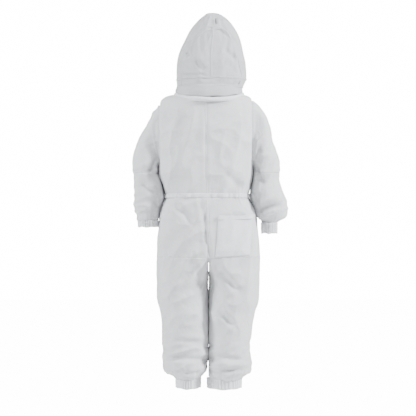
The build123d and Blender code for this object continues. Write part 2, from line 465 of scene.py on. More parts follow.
@dataclass(frozen=True)
class VeilFinish:
    """Fine open mesh: thread colour, pitch in mm and the thread's share of the pitch."""

    name: str
    colour: tuple[float, float, float]
    pitch: float = 2.0
    thread: float = 0.42

    def build(self) -> bpy.types.Material:
        """Make the material, see-through between its threads."""
        p = Paint(self.name)
        p.shader.inputs["Roughness"].default_value = 0.6
        uv = p.node("ShaderNodeUVMap", uv_map="cloth").outputs[0]
        split = p.node("ShaderNodeSeparateXYZ")
        p.link(uv, split.inputs[0])
        masks = []
        for axis in split.outputs[:2]:
            turn = p.maths("FRACT", p.maths("MULTIPLY", axis, 1000 / self.pitch))
            masks.append(p.maths("LESS_THAN", turn, self.thread))
        p.link(p.maths("MAXIMUM", *masks), p.shader.inputs["Alpha"])
        p.tint(self.colour, 1.0, 1.8, p.noise(uv, 40).outputs[0])
        return p.material


@dataclass(frozen=True)
class HardFinish:
    """Metal or moulded plastic with fine scuffs."""

    name: str
    colour: tuple[float, float, float]
    metal: float = 0.0
    rough: float = 0.4
    scale: float = 260.0

    def build(self) -> bpy.types.Material:
        """Make the material."""
        p = Paint(self.name)
        p.shader.inputs["Metallic"].default_value = self.metal
        place = p.node("ShaderNodeTexCoord").outputs["Object"]
        scuffs = p.noise(place, self.scale, 5).outputs[0]
        p.roughness(self.rough * 0.7, self.rough * 1.4, scuffs)
        p.tint(self.colour, 0.8, 1.1, scuffs)
        p.bumps((scuffs, 0.05, 1.0))
        return p.material


class Wardrobe:
    """Every finish of the suit."""

    def __init__(self) -> None:
        """Build the shared groups and all materials."""
        groups = weave_group(), wear_group()
        self.cloth = ClothFinish("cotton_body", (0.575, 0.59, 0.612)).build(*groups)
        # The hood's cotton is the body's white cotton made darker: painted shade standing in for
        # the dimmer light on the hood.
        self.hood = ClothFinish("cotton_hood", (0.43, 0.442, 0.462), crumple=2.4).build(*groups)
        self.trim = ClothFinish("cotton_trim", (0.67, 0.69, 0.72), pitch=0.8,
                                crumple=2.0).build(*groups)
        self.tape = ClothFinish("zip_tape", (0.60, 0.62, 0.65), pitch=0.7, crumple=0.2,
                                rough=0.8).build(*groups)
        self.thread = ClothFinish("stitching", (0.70, 0.71, 0.73), pitch=0.3,
                                  crumple=0.1).build(*groups)
        self.veil = VeilFinish("black_mesh", (0.012, 0.012, 0.013)).build()
        self.metal = HardFinish("nickel", (0.62, 0.62, 0.60), 1.0, 0.3).build()
        self.teeth = HardFinish("zip_teeth", (0.72, 0.73, 0.74), 0.0, 0.35).build()
        self.hoop = HardFinish("hoop", (0.5, 0.5, 0.5), 0.0, 0.4).build()


# ------------------------------------------------------------ the cloth grid
@dataclass
class Cloth:
    """Vertices, faces, cloth coordinates and panel names of a garment in progress."""

    points: list[tuple[float, float, float]] = field(default_factory=list)
    faces: list[tuple[int, ...]] = field(default_factory=list)
    uvs: list[list[tuple[float, float]]] = field(default_factory=list)
    panels: list[str] = field(default_factory=list)
    pinned: set[int] = field(default_factory=set)
    slack: dict[int, float] = field(default_factory=dict)

    def add(self, point: tuple[float, float, float]) -> int:
        """Add a vertex in mm and return its number."""
        self.points.append(point)
        return len(self.points) - 1

    def face(self, quad: tuple[int, int, int, int], panel: str,
             uv: list[tuple[float, float]]) -> None:
        """Add a face of a panel with its cloth coordinates."""
        self.faces.append(quad)
        self.panels.append(panel)
        self.uvs.append(uv)


@dataclass
class SuitPattern:
    """The suit as one net of cloth: torso, hips, legs and sleeves. Sizes in mm."""

    columns: int = 120
    body: list[Row] = field(default_factory=lambda: [
        (-4, -141, 141, -141, 141), (-9, -166, 172, -143, 141),
        (-18, -180, 198, -145, 141), (-32, -185, 212, -147, 141),
        (-60, -185, 213, -148, 141), (-150, -185, 213, -148, 139),
        (-260, -187, 215, -147, 138), (-305, -193, 222, -147, 136),
        (-340, -194, 222, -146, 132), (-372, -186, 206, -146, 129),
        (-400, -180, 199, -146, 126), (-430, -173, 190, -145, 120),
        (-440, -172, 189, -145, 119), (-470, -189, 205, -147, 130),
        (-530, -208, 218, -148, 140), (-600, -215, 223, -148, 146),
        (-655, -218, 226, -147, 145), (-700, -220, 229, -143, 141)])
    legs: dict[Side, list[Row]] = field(default_factory=lambda: {
        Side.LEFT: [(-700, 6, 229, -140, 140), (-810, 8, 229, -122, 124),
                    (-875, 3, 228, -115, 117), (-950, 2, 208, -111, 112),
                    (-1020, 1.5, 205, -107, 108), (-1110, 1.5, 202, -104, 106),
                    (-1170, 8, 201, -102, 108), (-1205, 14, 194, -97, 104),
                    (-1222, 30, 160, -86, 92), (-1234, 37, 146, -80, 84)],
        Side.RIGHT: [(-700, -220, -4, -140, 140), (-810, -220, -3, -122, 124),
                     (-875, -218, 1, -115, 117), (-950, -196, 2, -111, 112),
                     (-1020, -186, 2.2, -107, 108), (-1110, -177, 2.5, -104, 106),
                     (-1160, -186, 2, -102, 108), (-1200, -186, 4, -97, 104),
                     (-1222, -158, 9, -86, 92), (-1236, -143, 8, -80, 84)]})
    sleeves: dict[Side, list[Row]] = field(default_factory=lambda: {
        Side.LEFT: [(-335, 224, 331, -82, 70), (-370, 209, 331, -82, 70),
                    (-410, 201, 331, -80, 67), (-440, 195, 331, -79, 65),
                    (-480, 211, 331, -77, 63), (-510, 218, 324, -70, 57),
                    (-535, 221, 316, -60, 49), (-545, 223, 312, -56, 45)],
        Side.RIGHT: [(-335, -306, -195, -84, 72), (-370, -311, -191, -84, 72),
                     (-410, -322, -183, -84, 70), (-442, -335, -178, -82, 67),
                     (-480, -347, -198, -80, 64), (-505, -347, -208, -74, 58),
                     (-530, -334, -216, -66, 51),
                     (-548, -306, -230, -56, 45), (-556, -300, -231, -52, 42)]})
    caps: dict[Side, list[tuple[float, float]]] = field(default_factory=lambda: {
        Side.LEFT: [(0, 270), (3, 250), (8, 223), (13, 200), (19, 179), (28, 160),
                    (36, 143), (58, 119), (90, 107)],
        Side.RIGHT: [(0, 288), (3.5, 274), (9, 250), (14, 228), (18.5, 206), (23.5, 184),
                     (35, 143), (57, 117), (90, 115)]})
    shoulders: dict[Side, list[tuple[float, float]]] = field(default_factory=lambda: {
        Side.LEFT: [(-130, -130), (-80, -76), (-44, -36), (-34, -24), (-25, -13), (-18, -4),
                    (-9, 6), (-4, 10)],
        Side.RIGHT: [(-130, -130), (-80, -62), (-44, -16), (-34, -11), (-25, -7), (-18, -3),
                     (-9, 5), (-4, 10)]})
    holes: dict[Side, tuple[int, int]] = field(
        default_factory=lambda: {Side.LEFT: (21, 37), Side.RIGHT: (83, 99)})
    seam_x: dict[Side, float] = field(
        default_factory=lambda: {Side.LEFT: 216.0, Side.RIGHT: -187.0})
    drop: float = 30.0

    def __post_init__(self) -> None:
        """Lay out the rows of the torso and start an empty cloth."""
        self.cloth = Cloth()
        self.levels = [-4.0, -6.0, -9.0, -13.0, -18.0, -25.0, -34.0, -44.0]
        while self.levels[-1] > -699:
            self.levels.append(max(-700.0, self.levels[-1] - 10.0))
        self.hole_rows = (7, 33)
        self.grid: list[list[int]] = []
        self.leg_rings: dict[Side, list[list[int]]] = {}
        self.sleeve_rings: dict[Side, list[list[int]]] = {}

    def point(self, z: float, j: int) -> tuple[float, float, float]:
        """A point of the torso's or hips' outline, counted from the front centre."""
        side = Side.LEFT if 2 * j <= self.columns else Side.RIGHT
        j, z, near = self.round_hole(side, j, z)
        cx, cy, a, b = read_rows(self.body, z)
        u = 2 * math.pi * j / self.columns
        x, y = squircle(u, a, b, 2.0 + 0.35 * smooth((-z - 10) / 60))
        x, y = cx + x, cy + y
        short = side.value * (self.seam_x[side] - x) - 2.0
        x += side.value * max(0.0, short) * near
        rows = self.shoulders[side]
        if z > -130:
            raised = monotone([r[0] for r in rows], [r[1] for r in rows], z)
            z += (raised - z) * abs(math.sin(u)) ** 4
        return x, y, z

    def round_hole(self, side: Side, j: float, z: float) -> tuple[float, float, float]:
        """Round off an armhole's corners.

        Args:
            side: The armhole.
            j: A column.
            z: A height in mm.

        Returns:
            The moved column and height, and how near the armhole's edge they are.
        """
        a, b = self.holes[side]
        top, low = (self.levels[i] for i in self.hole_rows)
        p, q = (2 * j - a - b) / (b - a), (2 * z - top - low) / (top - low)
        m = max(abs(p), abs(q))
        if not 0.99 < m < 2:
            return j, z, 0.0
        share = 0.7 * smooth(2 - m) * smooth((-z - 12) / 30)
        pn, qn = p / m, q / m
        p += (m * pn * math.sqrt(1 - qn * qn / 2) - p) * share
        q += (m * qn * math.sqrt(1 - pn * pn / 2) - q) * share
        return ((a + b + p * (b - a)) / 2, (top + low + q * (top - low)) / 2,
                smooth((1.8 - m) / 0.8) * smooth((-z - 15) / 29))

    def in_hole(self, i: int, j: int) -> bool:
        """Whether the cell below row i, right of column j, lies in an armhole."""
        top, low = self.hole_rows
        return top <= i < low and any(a <= j < b for a, b in self.holes.values())

    def panel(self, i: int, j: int) -> str:
        """The panel that a cell of the torso belongs to."""
        quarter = self.columns // 4
        face = "front" if j < quarter or j >= 3 * quarter else "back"
        word = "left" if j < 2 * quarter else "right"
        return f"{face}_panel_{word}" if self.levels[i] > WAIST else f"hip_{face}_{word}"

    def build(self) -> Cloth:
        """Make the whole net."""
        self.torso()
        for side in Side:
            self.sleeve(side)
        self.crotch_and_legs()
        return self.cloth

    def torso(self) -> None:
        """Torso and hips down to the crotch, with the armholes left open."""
        c, n = self.cloth, self.columns
        for i, z in enumerate(self.levels):
            row = []
            for j in range(n):
                inside = self.in_hole(i, j) and self.in_hole(i - 1, j) and \
                    self.in_hole(i, j - 1) and self.in_hole(i - 1, j - 1)
                row.append(-1 if inside else c.add(self.point(z, j)))
            self.grid.append(row)
            middle = abs(z - WAIST) < 8
            for j, v in enumerate(row):
                if v < 0:
                    continue
                zip_side = min(j, n - j) <= 4 and z > -650
                if z > -16 or middle or zip_side:
                    c.pinned.add(v)
                c.slack[v] = 0.25 + 0.5 * smooth((-z - 330) / 90) * (z > -430)
        width = 1.13 / n
        for i in range(len(self.levels) - 1):
            for j in range(n):
                if self.in_hole(i, j):
                    continue
                k = (j + 1) % n
                quad = (self.grid[i][j], self.grid[i + 1][j], self.grid[i + 1][k], self.grid[i][k])
                v0, v1 = self.levels[i] * MM, self.levels[i + 1] * MM
                u0, u1 = j * width, (j + 1) * width
                c.face(quad, self.panel(i, j), [(u0, v0), (u0, v1), (u1, v1), (u1, v0)])

    def hole_loop(self, side: Side) -> list[int]:
        """The armhole's edge, from the middle of its top, round by the front."""
        (top, low), (a, b) = self.hole_rows, self.holes[side]
        mid, s, g = (a + b) // 2, side.value, self.grid
        if side is Side.RIGHT:
            a, b = b, a
        return ([g[top][j] for j in range(mid, a, -s)] + [g[i][a] for i in range(top, low)]
                + [g[low][j] for j in range(a, b, s)] + [g[i][b] for i in range(low, top, -1)]
                + [g[top][j] for j in range(b, mid, -s)])

    def sleeve(self, side: Side) -> None:
        """A sleeve from its armhole, over the shoulder and down to the cuff."""
        c, s = self.cloth, side.value
        loop = self.hole_loop(side)
        n = len(loop)
        base = [c.points[v] for v in loop]
        c.pinned.update(loop)
        rings = [loop]
        pit = -(44 + 10.0 * (self.hole_rows[1] - self.hole_rows[0]))
        start = self.seam_x[side]
        lengths = [math.dist(base[k], base[(k + 1) % n]) for k in range(n)]
        total = sum(lengths)
        arcs = [2 * math.pi * sum(lengths[:k]) / total for k in range(n)]
        first = [(start + s * STRETCH, y * 0.98, z + (2 if k == 0 else 0))
                 for k, (_, y, z) in enumerate(base)]
        for t in (0.15, 0.35, 0.6, 0.85, 1.0):
            ring = []
            for k in range(n):
                p, q = base[k], first[k]
                ring.append(c.add(tuple(p[m] + (q[m] - p[m]) * t for m in range(3))))
            c.pinned.update(ring)
            rings.append(ring)
        steps = 24
        cap = self.caps[side]
        rows = self.sleeves[side]
        b = read_rows(rows, -360)[3]
        for i in range(1, steps + 1):
            t = i / steps
            turn = 90 * t ** 1.15
            reach = monotone([p[0] for p in cap], [p[1] for p in cap], turn)
            ax, az = start + s * STRETCH, pit - self.drop * t ** 1.3
            reach += self.drop * t ** 1.3 * math.cos(math.radians(turn))
            dx, dz = s * math.sin(math.radians(turn)), math.cos(math.radians(turn))
            depth = 62 + (b - 62) * smooth(t * 2)
            mix = smooth(t * 2.5)
            ring = []
            for k in range(n):
                u = arcs[k]
                along = reach * (1 + math.cos(u)) / 2
                bulge = 1.0 + 0.10 * math.sin(u) ** 2
                px = ax + dx * along
                py = -6 - depth * bulge * math.sin(u) * (0.96 if math.sin(u) > 0 else 0.92)
                pz = az + dz * along
                q = first[k]
                up = (q[2] - pit) * reach / cap[0][1]
                qx, qz = ax + dx * up, az + dz * up
                ring.append(c.add((qx + (px - qx) * mix, q[1] + (py - q[1]) * mix,
                                   qz + (pz - qz) * mix)))
            rings.append(ring)
        z, bottom = pit - self.drop, rows[-1][0]
        self.elbow_ring = len(rings) - 1
        count = round((z - bottom) / 9.5)
        for i in range(1, count + 1):
            zz = z + (bottom - z) * i / count
            cx, cy, a, b = read_rows(rows, zz)
            blend_in = smooth(i / 6)
            ring = []
            last = [c.points[v] for v in rings[-1]]
            for k in range(n):
                u = arcs[k]
                tx, ty = cx + s * a * math.cos(u), cy - b * math.sin(u)
                lx, ly, _ = last[k]
                ring.append(c.add((lx + (tx - lx) * blend_in, ly + (ty - ly) * blend_in, zz)))
            rings.append(ring)
        c.pinned.update(rings[-1] + rings[-2])
        self.sleeve_rings[side] = rings
        for ring in rings[6:]:
            for v in ring:
                c.slack[v] = 0.3 + 0.5 * smooth((-c.points[v][2] - 400) / 120)
        width, v0 = 0.52 / n, 0.0
        name = f"sleeve_{side.word}"
        for i in range(len(rings) - 1):
            gap = math.dist(c.points[rings[i][0]], c.points[rings[i + 1][0]]) * MM
            part = f"upper_{name}" if i < self.elbow_ring else f"lower_{name}"
            for k in range(n):
                m = (k + 1) % n
                quad = (rings[i][k], rings[i][m], rings[i + 1][m], rings[i + 1][k])
                u0, u1 = k * width, (k + 1) * width
                uv = [(u0, v0), (u1, v0), (u1, v0 - gap), (u0, v0 - gap)]
                if side is Side.LEFT:
                    quad, uv = quad[::-1], uv[::-1]
                c.face(quad, part, uv)
            v0 -= gap

    def crotch_and_legs(self) -> None:
        """The cloth under the crotch and both legs down to the ankles."""
        c, n = self.cloth, self.columns
        last = self.grid[-1]
        half = n // 2
        under = []
        steps = 26
        front, back = c.points[last[0]], c.points[last[half]]
        for m in range(1, steps):
            t = m / steps
            x = back[0] + (front[0] - back[0]) * t
            x += (3.5 - x) * min(1.0, 4 * t, 4 * (1 - t))
            y = back[1] + (front[1] - back[1]) * t
            under.append(c.add((x, y, -700 - 9 * math.sin(math.pi * t) ** 0.5)))
        for side in Side:
            s = side.value
            ring = [last[s * j % n] for j in range(half + 1)] + under
            count = len(ring)
            base = [c.points[v] for v in ring]
            angles = [math.radians(-50 + 280 * k / half if k <= half
                                   else 230 + 80 * (k - half) / (count - half))
                      for k in range(count)]
            rings = [ring]
            rows = self.legs[side]
            bottom = rows[-1][0]
            levels = round((-700 - bottom) / 10)
            for i in range(1, levels + 1):
                z = -700 + (bottom + 700) * i / levels
                cx, cy, a, b = read_rows(rows, z)
                w = smooth(i / 11)
                row = []
                for k in range(count):
                    u = angles[k]
                    tx, ty = cx + s * a * math.sin(u), cy - b * math.cos(u)
                    bx, by, bz = base[k]
                    row.append(c.add((bx + (tx - bx) * w, by + (ty - by) * w,
                                      z + (bz + 700) * (1 - w))))
                rings.append(row)
                for v in row:
                    c.slack[v] = 0.25 + 0.75 * smooth((-z - 980) / 200)
            c.pinned.update(rings[-1] + rings[-2])
            self.leg_rings[side] = rings
            width = 0.74 / count
            for i in range(len(rings) - 1):
                z0 = -0.7 - 0.01 * i
                for k in range(count):
                    m = (k + 1) % count
                    quad = (rings[i][k], rings[i + 1][k], rings[i + 1][m], rings[i][m])
                    u0, u1 = k * width, (k + 1) * width
                    uv = [(u0, z0), (u0, z0 - 0.01), (u1, z0 - 0.01), (u1, z0)]
                    if side is Side.RIGHT:
                        quad, uv = quad[::-1], uv[::-1]
                    c.face(quad, f"leg_{side.word}", uv)


# -------------------------------------------------------------- simulation
@dataclass
class Drape:
    """How a cloth net is let down on a shrunken copy of itself."""

    frames: int = 20
    growth: float = 0.10
    bending: float = 2.5
    stiffness: float = 18.0
    inset: float = 0.004
    gravity: float = 0.5
    cap: float = 0.024

    def run(self, obj: bpy.types.Object, pinned: set[int], slack: dict[int, float]) -> None:
        """Simulate, apply the result and cap how far any point moved.

        Args:
            obj: The cloth, changed in place.
            pinned: Vertices that seams or elastics hold still.
            slack: A share of the growth for each vertex.
        """
        start = coords(obj)
        body = copy_of(obj)
        set_coords(body, start - normals_of(body) * self.inset)
        body.modifiers.new("body", "COLLISION")
        body.collision.thickness_outer = 0.002
        body.collision.cloth_friction = 20
        hold = obj.vertex_groups.new(name="hold")
        hold.add(list(pinned), 1.0, "REPLACE")
        loose = obj.vertex_groups.new(name="loose")
        for v, amount in slack.items():
            loose.add([v], amount, "REPLACE")
        mod = obj.modifiers.new("drape", "CLOTH")
        s, hit = mod.settings, mod.collision_settings
        s.quality, s.mass, s.air_damping = 4, 0.25, 2.0
        s.tension_stiffness = s.compression_stiffness = s.shear_stiffness = self.stiffness
        s.bending_stiffness, s.vertex_group_mass = self.bending, "hold"
        s.vertex_group_shrink, s.shrink_min, s.shrink_max = "loose", 0.0, -self.growth
        s.effector_weights.gravity = self.gravity
        hit.use_self_collision, hit.distance_min, hit.collision_quality = False, 0.002, 3
        mod.point_cache.frame_start, mod.point_cache.frame_end = 1, self.frames
        scene = bpy.context.scene
        scene.frame_start, scene.frame_end = 1, self.frames
        for number in range(1, self.frames + 1):
            scene.frame_set(number)
        graph = bpy.context.evaluated_depsgraph_get()
        result = np.empty(start.size)
        obj.evaluated_get(graph).data.vertices.foreach_get("co", result)
        obj.modifiers.clear()
        obj.vertex_groups.clear()
        bpy.data.objects.remove(body)
        scene.frame_set(1)
        move = result.reshape(-1, 3) - start
        far = np.linalg.norm(move, axis=1)
        scale = np.where(far > self.cap, self.cap / np.maximum(far, 1e-9), 1.0)
        set_coords(obj, start + move * scale[:, None])
        LOG.info("draped %s: mean %.1f mm, most %.1f mm", obj.name, far.mean() * 1e3,
                 far.max() * 1e3)


def split_panels(obj: bpy.types.Object, names: list[str],
                 wall: float) -> dict[str, bpy.types.Object]:
    """Cut a finished net into its named panels, by material slot number.

    Args:
        obj: The whole net; slot k holds the panel names[k]. It is removed.
        names: Panel names in slot order.
        wall: Cloth thickness in metres.

    Returns:
        Each panel's object by name.
    """
    mesh = obj.data
    count = len(mesh.polygons)
    slots = np.empty(count, int)
    mesh.polygons.foreach_get("material_index", slots)
    points = coords(obj)
    loops = np.empty(len(mesh.loops), int)
    mesh.loops.foreach_get("vertex_index", loops)
    uv = np.empty(len(mesh.loops) * 2)
    mesh.uv_layers[0].data.foreach_get("uv", uv)
    quads, uvq = loops.reshape(count, 4), uv.reshape(count, 4, 2)
    out = {}
    for k, name in enumerate(names):
        pick = quads[slots == k]
        used, inverse = np.unique(pick, return_inverse=True)
        faces = [tuple(f) for f in inverse.reshape(pick.shape).tolist()]
        piece = new_mesh(name, points[used], faces, [mesh.materials[k]],
                         None, [[tuple(c) for c in q] for q in uvq[slots == k].tolist()])
        out[name] = thicken(piece, wall)
    bpy.data.objects.remove(obj)
    return out


# ------------------------------------------------------- repeats along paths
class Shape(Enum):
    """What is repeated along a path."""

    STITCH = "stitch"
    TOOTH = "tooth"


@dataclass
class RepeatTree:
    """Geometry Nodes that set small parts along paths, turned to follow them."""

    shape: Shape
    material: bpy.types.Material

    def build(self) -> bpy.types.NodeTree:
        """Make the tree, with its pitch and sizes as inputs."""
        tree = bpy.data.node_groups.new(f"{self.shape.value}_run", "GeometryNodeTree")
        face = tree.interface
        face.new_socket("Geometry", in_out="INPUT", socket_type="NodeSocketGeometry")
        for label, value in (("Pitch", 0.004), ("Along", 0.003), ("Deep", 0.001),
                             ("Across", 0.001)):
            socket = face.new_socket(label, in_out="INPUT", socket_type="NodeSocketFloat")
            socket.default_value = value
        face.new_socket("Geometry", in_out="OUTPUT", socket_type="NodeSocketGeometry")
        nodes, links = tree.nodes, tree.links
        source, sink = nodes.new("NodeGroupInput"), nodes.new("NodeGroupOutput")
        curve, run = nodes.new("GeometryNodeMeshToCurve"), nodes.new("GeometryNodeCurveToPoints")
        run.mode = "LENGTH"
        links.new(source.outputs["Geometry"], curve.inputs[0])
        links.new(curve.outputs[0], run.inputs["Curve"])
        links.new(source.outputs["Pitch"], run.inputs["Length"])
        if self.shape is Shape.STITCH:
            part = nodes.new("GeometryNodeMeshUVSphere")
            part.inputs["Segments"].default_value = 6
            part.inputs["Rings"].default_value = 4
            part.inputs["Radius"].default_value = 0.5
        else:
            part = nodes.new("GeometryNodeMeshCube")
        turn = nodes.new("FunctionNodeAlignRotationToVector")
        turn.axis = "X"
        links.new(run.outputs["Tangent"], turn.inputs["Vector"])
        size = nodes.new("ShaderNodeCombineXYZ")
        for k, label in enumerate(("Along", "Deep", "Across")):
            links.new(source.outputs[label], size.inputs[k])
        place = nodes.new("GeometryNodeInstanceOnPoints")
        links.new(run.outputs["Points"], place.inputs["Points"])
        links.new(part.outputs["Mesh"], place.inputs["Instance"])
        links.new(turn.outputs[0], place.inputs["Rotation"])
        links.new(size.outputs[0], place.inputs["Scale"])
        real = nodes.new("GeometryNodeRealizeInstances")
        paint = nodes.new("GeometryNodeSetMaterial")
        paint.inputs["Material"].default_value = self.material
        links.new(place.outputs[0], real.inputs[0])
        links.new(real.outputs[0], paint.inputs["Geometry"])
        links.new(paint.outputs[0], sink.inputs[0])
        return tree


@dataclass
class Repeater:
    """Runs a repeat tree along paths and returns a plain mesh."""

    tree: bpy.types.NodeTree
    pitch: float
    along: float
    deep: float
    across: float

    def along_paths(self, name: str, paths: list[np.ndarray]) -> bpy.types.Object:
        """Set the parts along every path.

        Args:
            name: The piece's name.
            paths: Points of each path, in metres.

        Returns:
            One mesh with all the parts.
        """
        points, edges = [], []
        for path in paths:
            base = len(points)
            points.extend(tuple(p) for p in path)
            edges.extend((base + k, base + k + 1) for k in range(len(path) - 1))
        mesh = bpy.data.meshes.new(name)
        mesh.from_pydata(points, edges, [])
        obj = bpy.data.objects.new(name, mesh)
        bpy.context.scene.collection.objects.link(obj)
        mod = obj.modifiers.new("run", "NODES")
        mod.node_group = self.tree
        values = {"Pitch": self.pitch, "Along": self.along, "Deep": self.deep,
                  "Across": self.across}
        for item in self.tree.interface.items_tree:
            if item.item_type == "SOCKET" and item.in_out == "INPUT" and item.name in values:
                mod[item.identifier] = values[item.name]
        obj = bake_modifiers(obj)
        obj.data.uv_layers.new(name="cloth")
        obj.data.polygons.foreach_set("use_smooth", [True] * len(obj.data.polygons))
        return obj


def sweep(name: str, path: np.ndarray, outs: np.ndarray, section: list[tuple[float, float]],
          material: bpy.types.Material, closed: bool) -> bpy.types.Object:
    """Sweep a closed section along a path.

    Args:
        name: The piece's name.
        path: Points in metres.
        outs: The outward normal at each point.
        section: Points (across, out) of the section in metres, counter-clockwise.
        material: Its finish.
        closed: Whether the path is a loop.

    Returns:
        The swept mesh, with its ends closed.
    """
    n = len(path)
    ahead = np.roll(path, -1, 0) - np.roll(path, 1, 0)
    if not closed:
        ahead[0], ahead[-1] = path[1] - path[0], path[-1] - path[-2]
    ahead /= np.linalg.norm(ahead, axis=1)[:, None] + 1e-12
    across = np.cross(ahead, outs)
    across /= np.linalg.norm(across, axis=1)[:, None] + 1e-12
    up = np.cross(across, ahead)
    points = [path[k] + across[k] * a + up[k] * b for k in range(n) for a, b in section]
    run = np.concatenate([[0], np.cumsum(np.linalg.norm(np.diff(path, axis=0), axis=1))])
    run = np.append(run, run[-1] + 0.01)
    return loft(name, points, len(section), run, 0.003, material, closed)


def pad_section(width: float, height: float, sink: float = 0.0006) -> list[tuple[float, float]]:
    """A low rounded strip section, lying on the cloth."""
    out = [(-width / 2, -sink)]
    for k in range(7):
        u = math.pi * k / 6
        out.append((-width / 2 * math.cos(u), height * math.sin(u) ** 0.6))
    out.append((width / 2, -sink))
    return out


# ----------------------------------------------------------------- the suit
@dataclass
class Crease:
    """A soft fold on the back: its ends (x, z), half width, and depth, in mm."""

    ends: tuple[float, float, float, float]
    width: float
    depth: float

    def push(self, points: np.ndarray, normals: np.ndarray) -> np.ndarray:
        """How far each point moves along its normal, in mm."""
        x0, z0, x1, z1 = self.ends
        dx, dz = x1 - x0, z1 - z0
        span = dx * dx + dz * dz
        px, pz = points[:, 0] * 1e3, points[:, 2] * 1e3
        t = np.clip(((px - x0) * dx + (pz - z0) * dz) / span, 0, 1)
        gap = np.hypot(px - x0 - t * dx, pz - z0 - t * dz)
        ends = np.minimum(1, 4 * np.minimum(t, 1 - t) + 0.25)
        facing = np.clip(normals[:, 1] * 2, 0, 1)
        r = gap / self.width
        shape = 1.6 * np.exp(-r * r) - 0.8 * np.exp(-r * r / 4)
        return 2.6 * self.depth * shape * ends * facing


@dataclass
class Rumple:
    """Wandering folds: long ones down the body, short ones across the limbs' ends."""

    height: float = 11.5
    fine: float = 1.3

    def push(self, points: np.ndarray, normals: np.ndarray) -> np.ndarray:
        """How far each point moves along its normal, in mm.

        Args:
            points: The points in metres.
            normals: Their normals.

        Returns:
            The moves.
        """
        out = np.zeros(len(points))
        for k, (x, y, z) in enumerate(points):
            limb = abs(x) > 0.225 and z > -0.62
            cross = smooth((-z - 1.0) / 0.14)
            if limb:
                cross = 0.35 + 0.65 * smooth((-z - 0.38) / 0.12)
            down = noise.noise(Vector((x * 13 + z * 4, y * 11, z * 4.2 + 3)))
            slant = noise.noise(Vector((x * 8 + z * 9, y * 8, z * 6 - x * 5 + 9)))
            over = noise.noise(Vector((x * 6, y * 7, z * 27 + x * 8)))
            long = 0.6 * self.ridge(down) + 0.5 * self.ridge(slant)
            fold = long * (1 - cross) + 0.95 * self.ridge(over) * cross
            small = noise.noise(Vector((x * 48, y * 48, z * 40)))
            flat = 0.35 + 0.65 * abs(normals[k, 1])
            calm = smooth((-z - 0.03) / 0.08) if not limb else 1.0
            out[k] = (self.height * fold + self.fine * small) * flat * calm
        return out

    @staticmethod
    def ridge(value: float) -> float:
        """Turn a smooth wander into narrow folds with flats between them."""
        return 1.0 - 2.6 * abs(value) ** 0.75 if abs(value) < 0.6 else -0.77


@dataclass
class Gathers:
    """Small pleats that run out of an elastic seam and fade away from it."""

    centre: tuple[float, float]
    height: float
    reach: float
    count: int
    depth: float
    span: tuple[float, float]

    def push(self, points: np.ndarray, normals: np.ndarray) -> np.ndarray:
        """How far each point moves along its normal, in mm."""
        x, y, z = points.T * 1e3
        turn = np.arctan2(y - self.centre[1], x - self.centre[0])
        away = np.abs(z - self.height) / self.reach
        lean = 0.5 * np.sin(5 * turn + 1) + 0.35 * np.sin(13 * turn)
        wave = np.sin(self.count * turn + 3 * lean) * (0.7 + 0.5 * np.sin(7 * turn + 2))
        own = (x > self.span[0]) & (x < self.span[1])
        return self.depth * wave * np.exp(-away ** 1.4) * own * (1 - np.abs(normals[:, 2]))


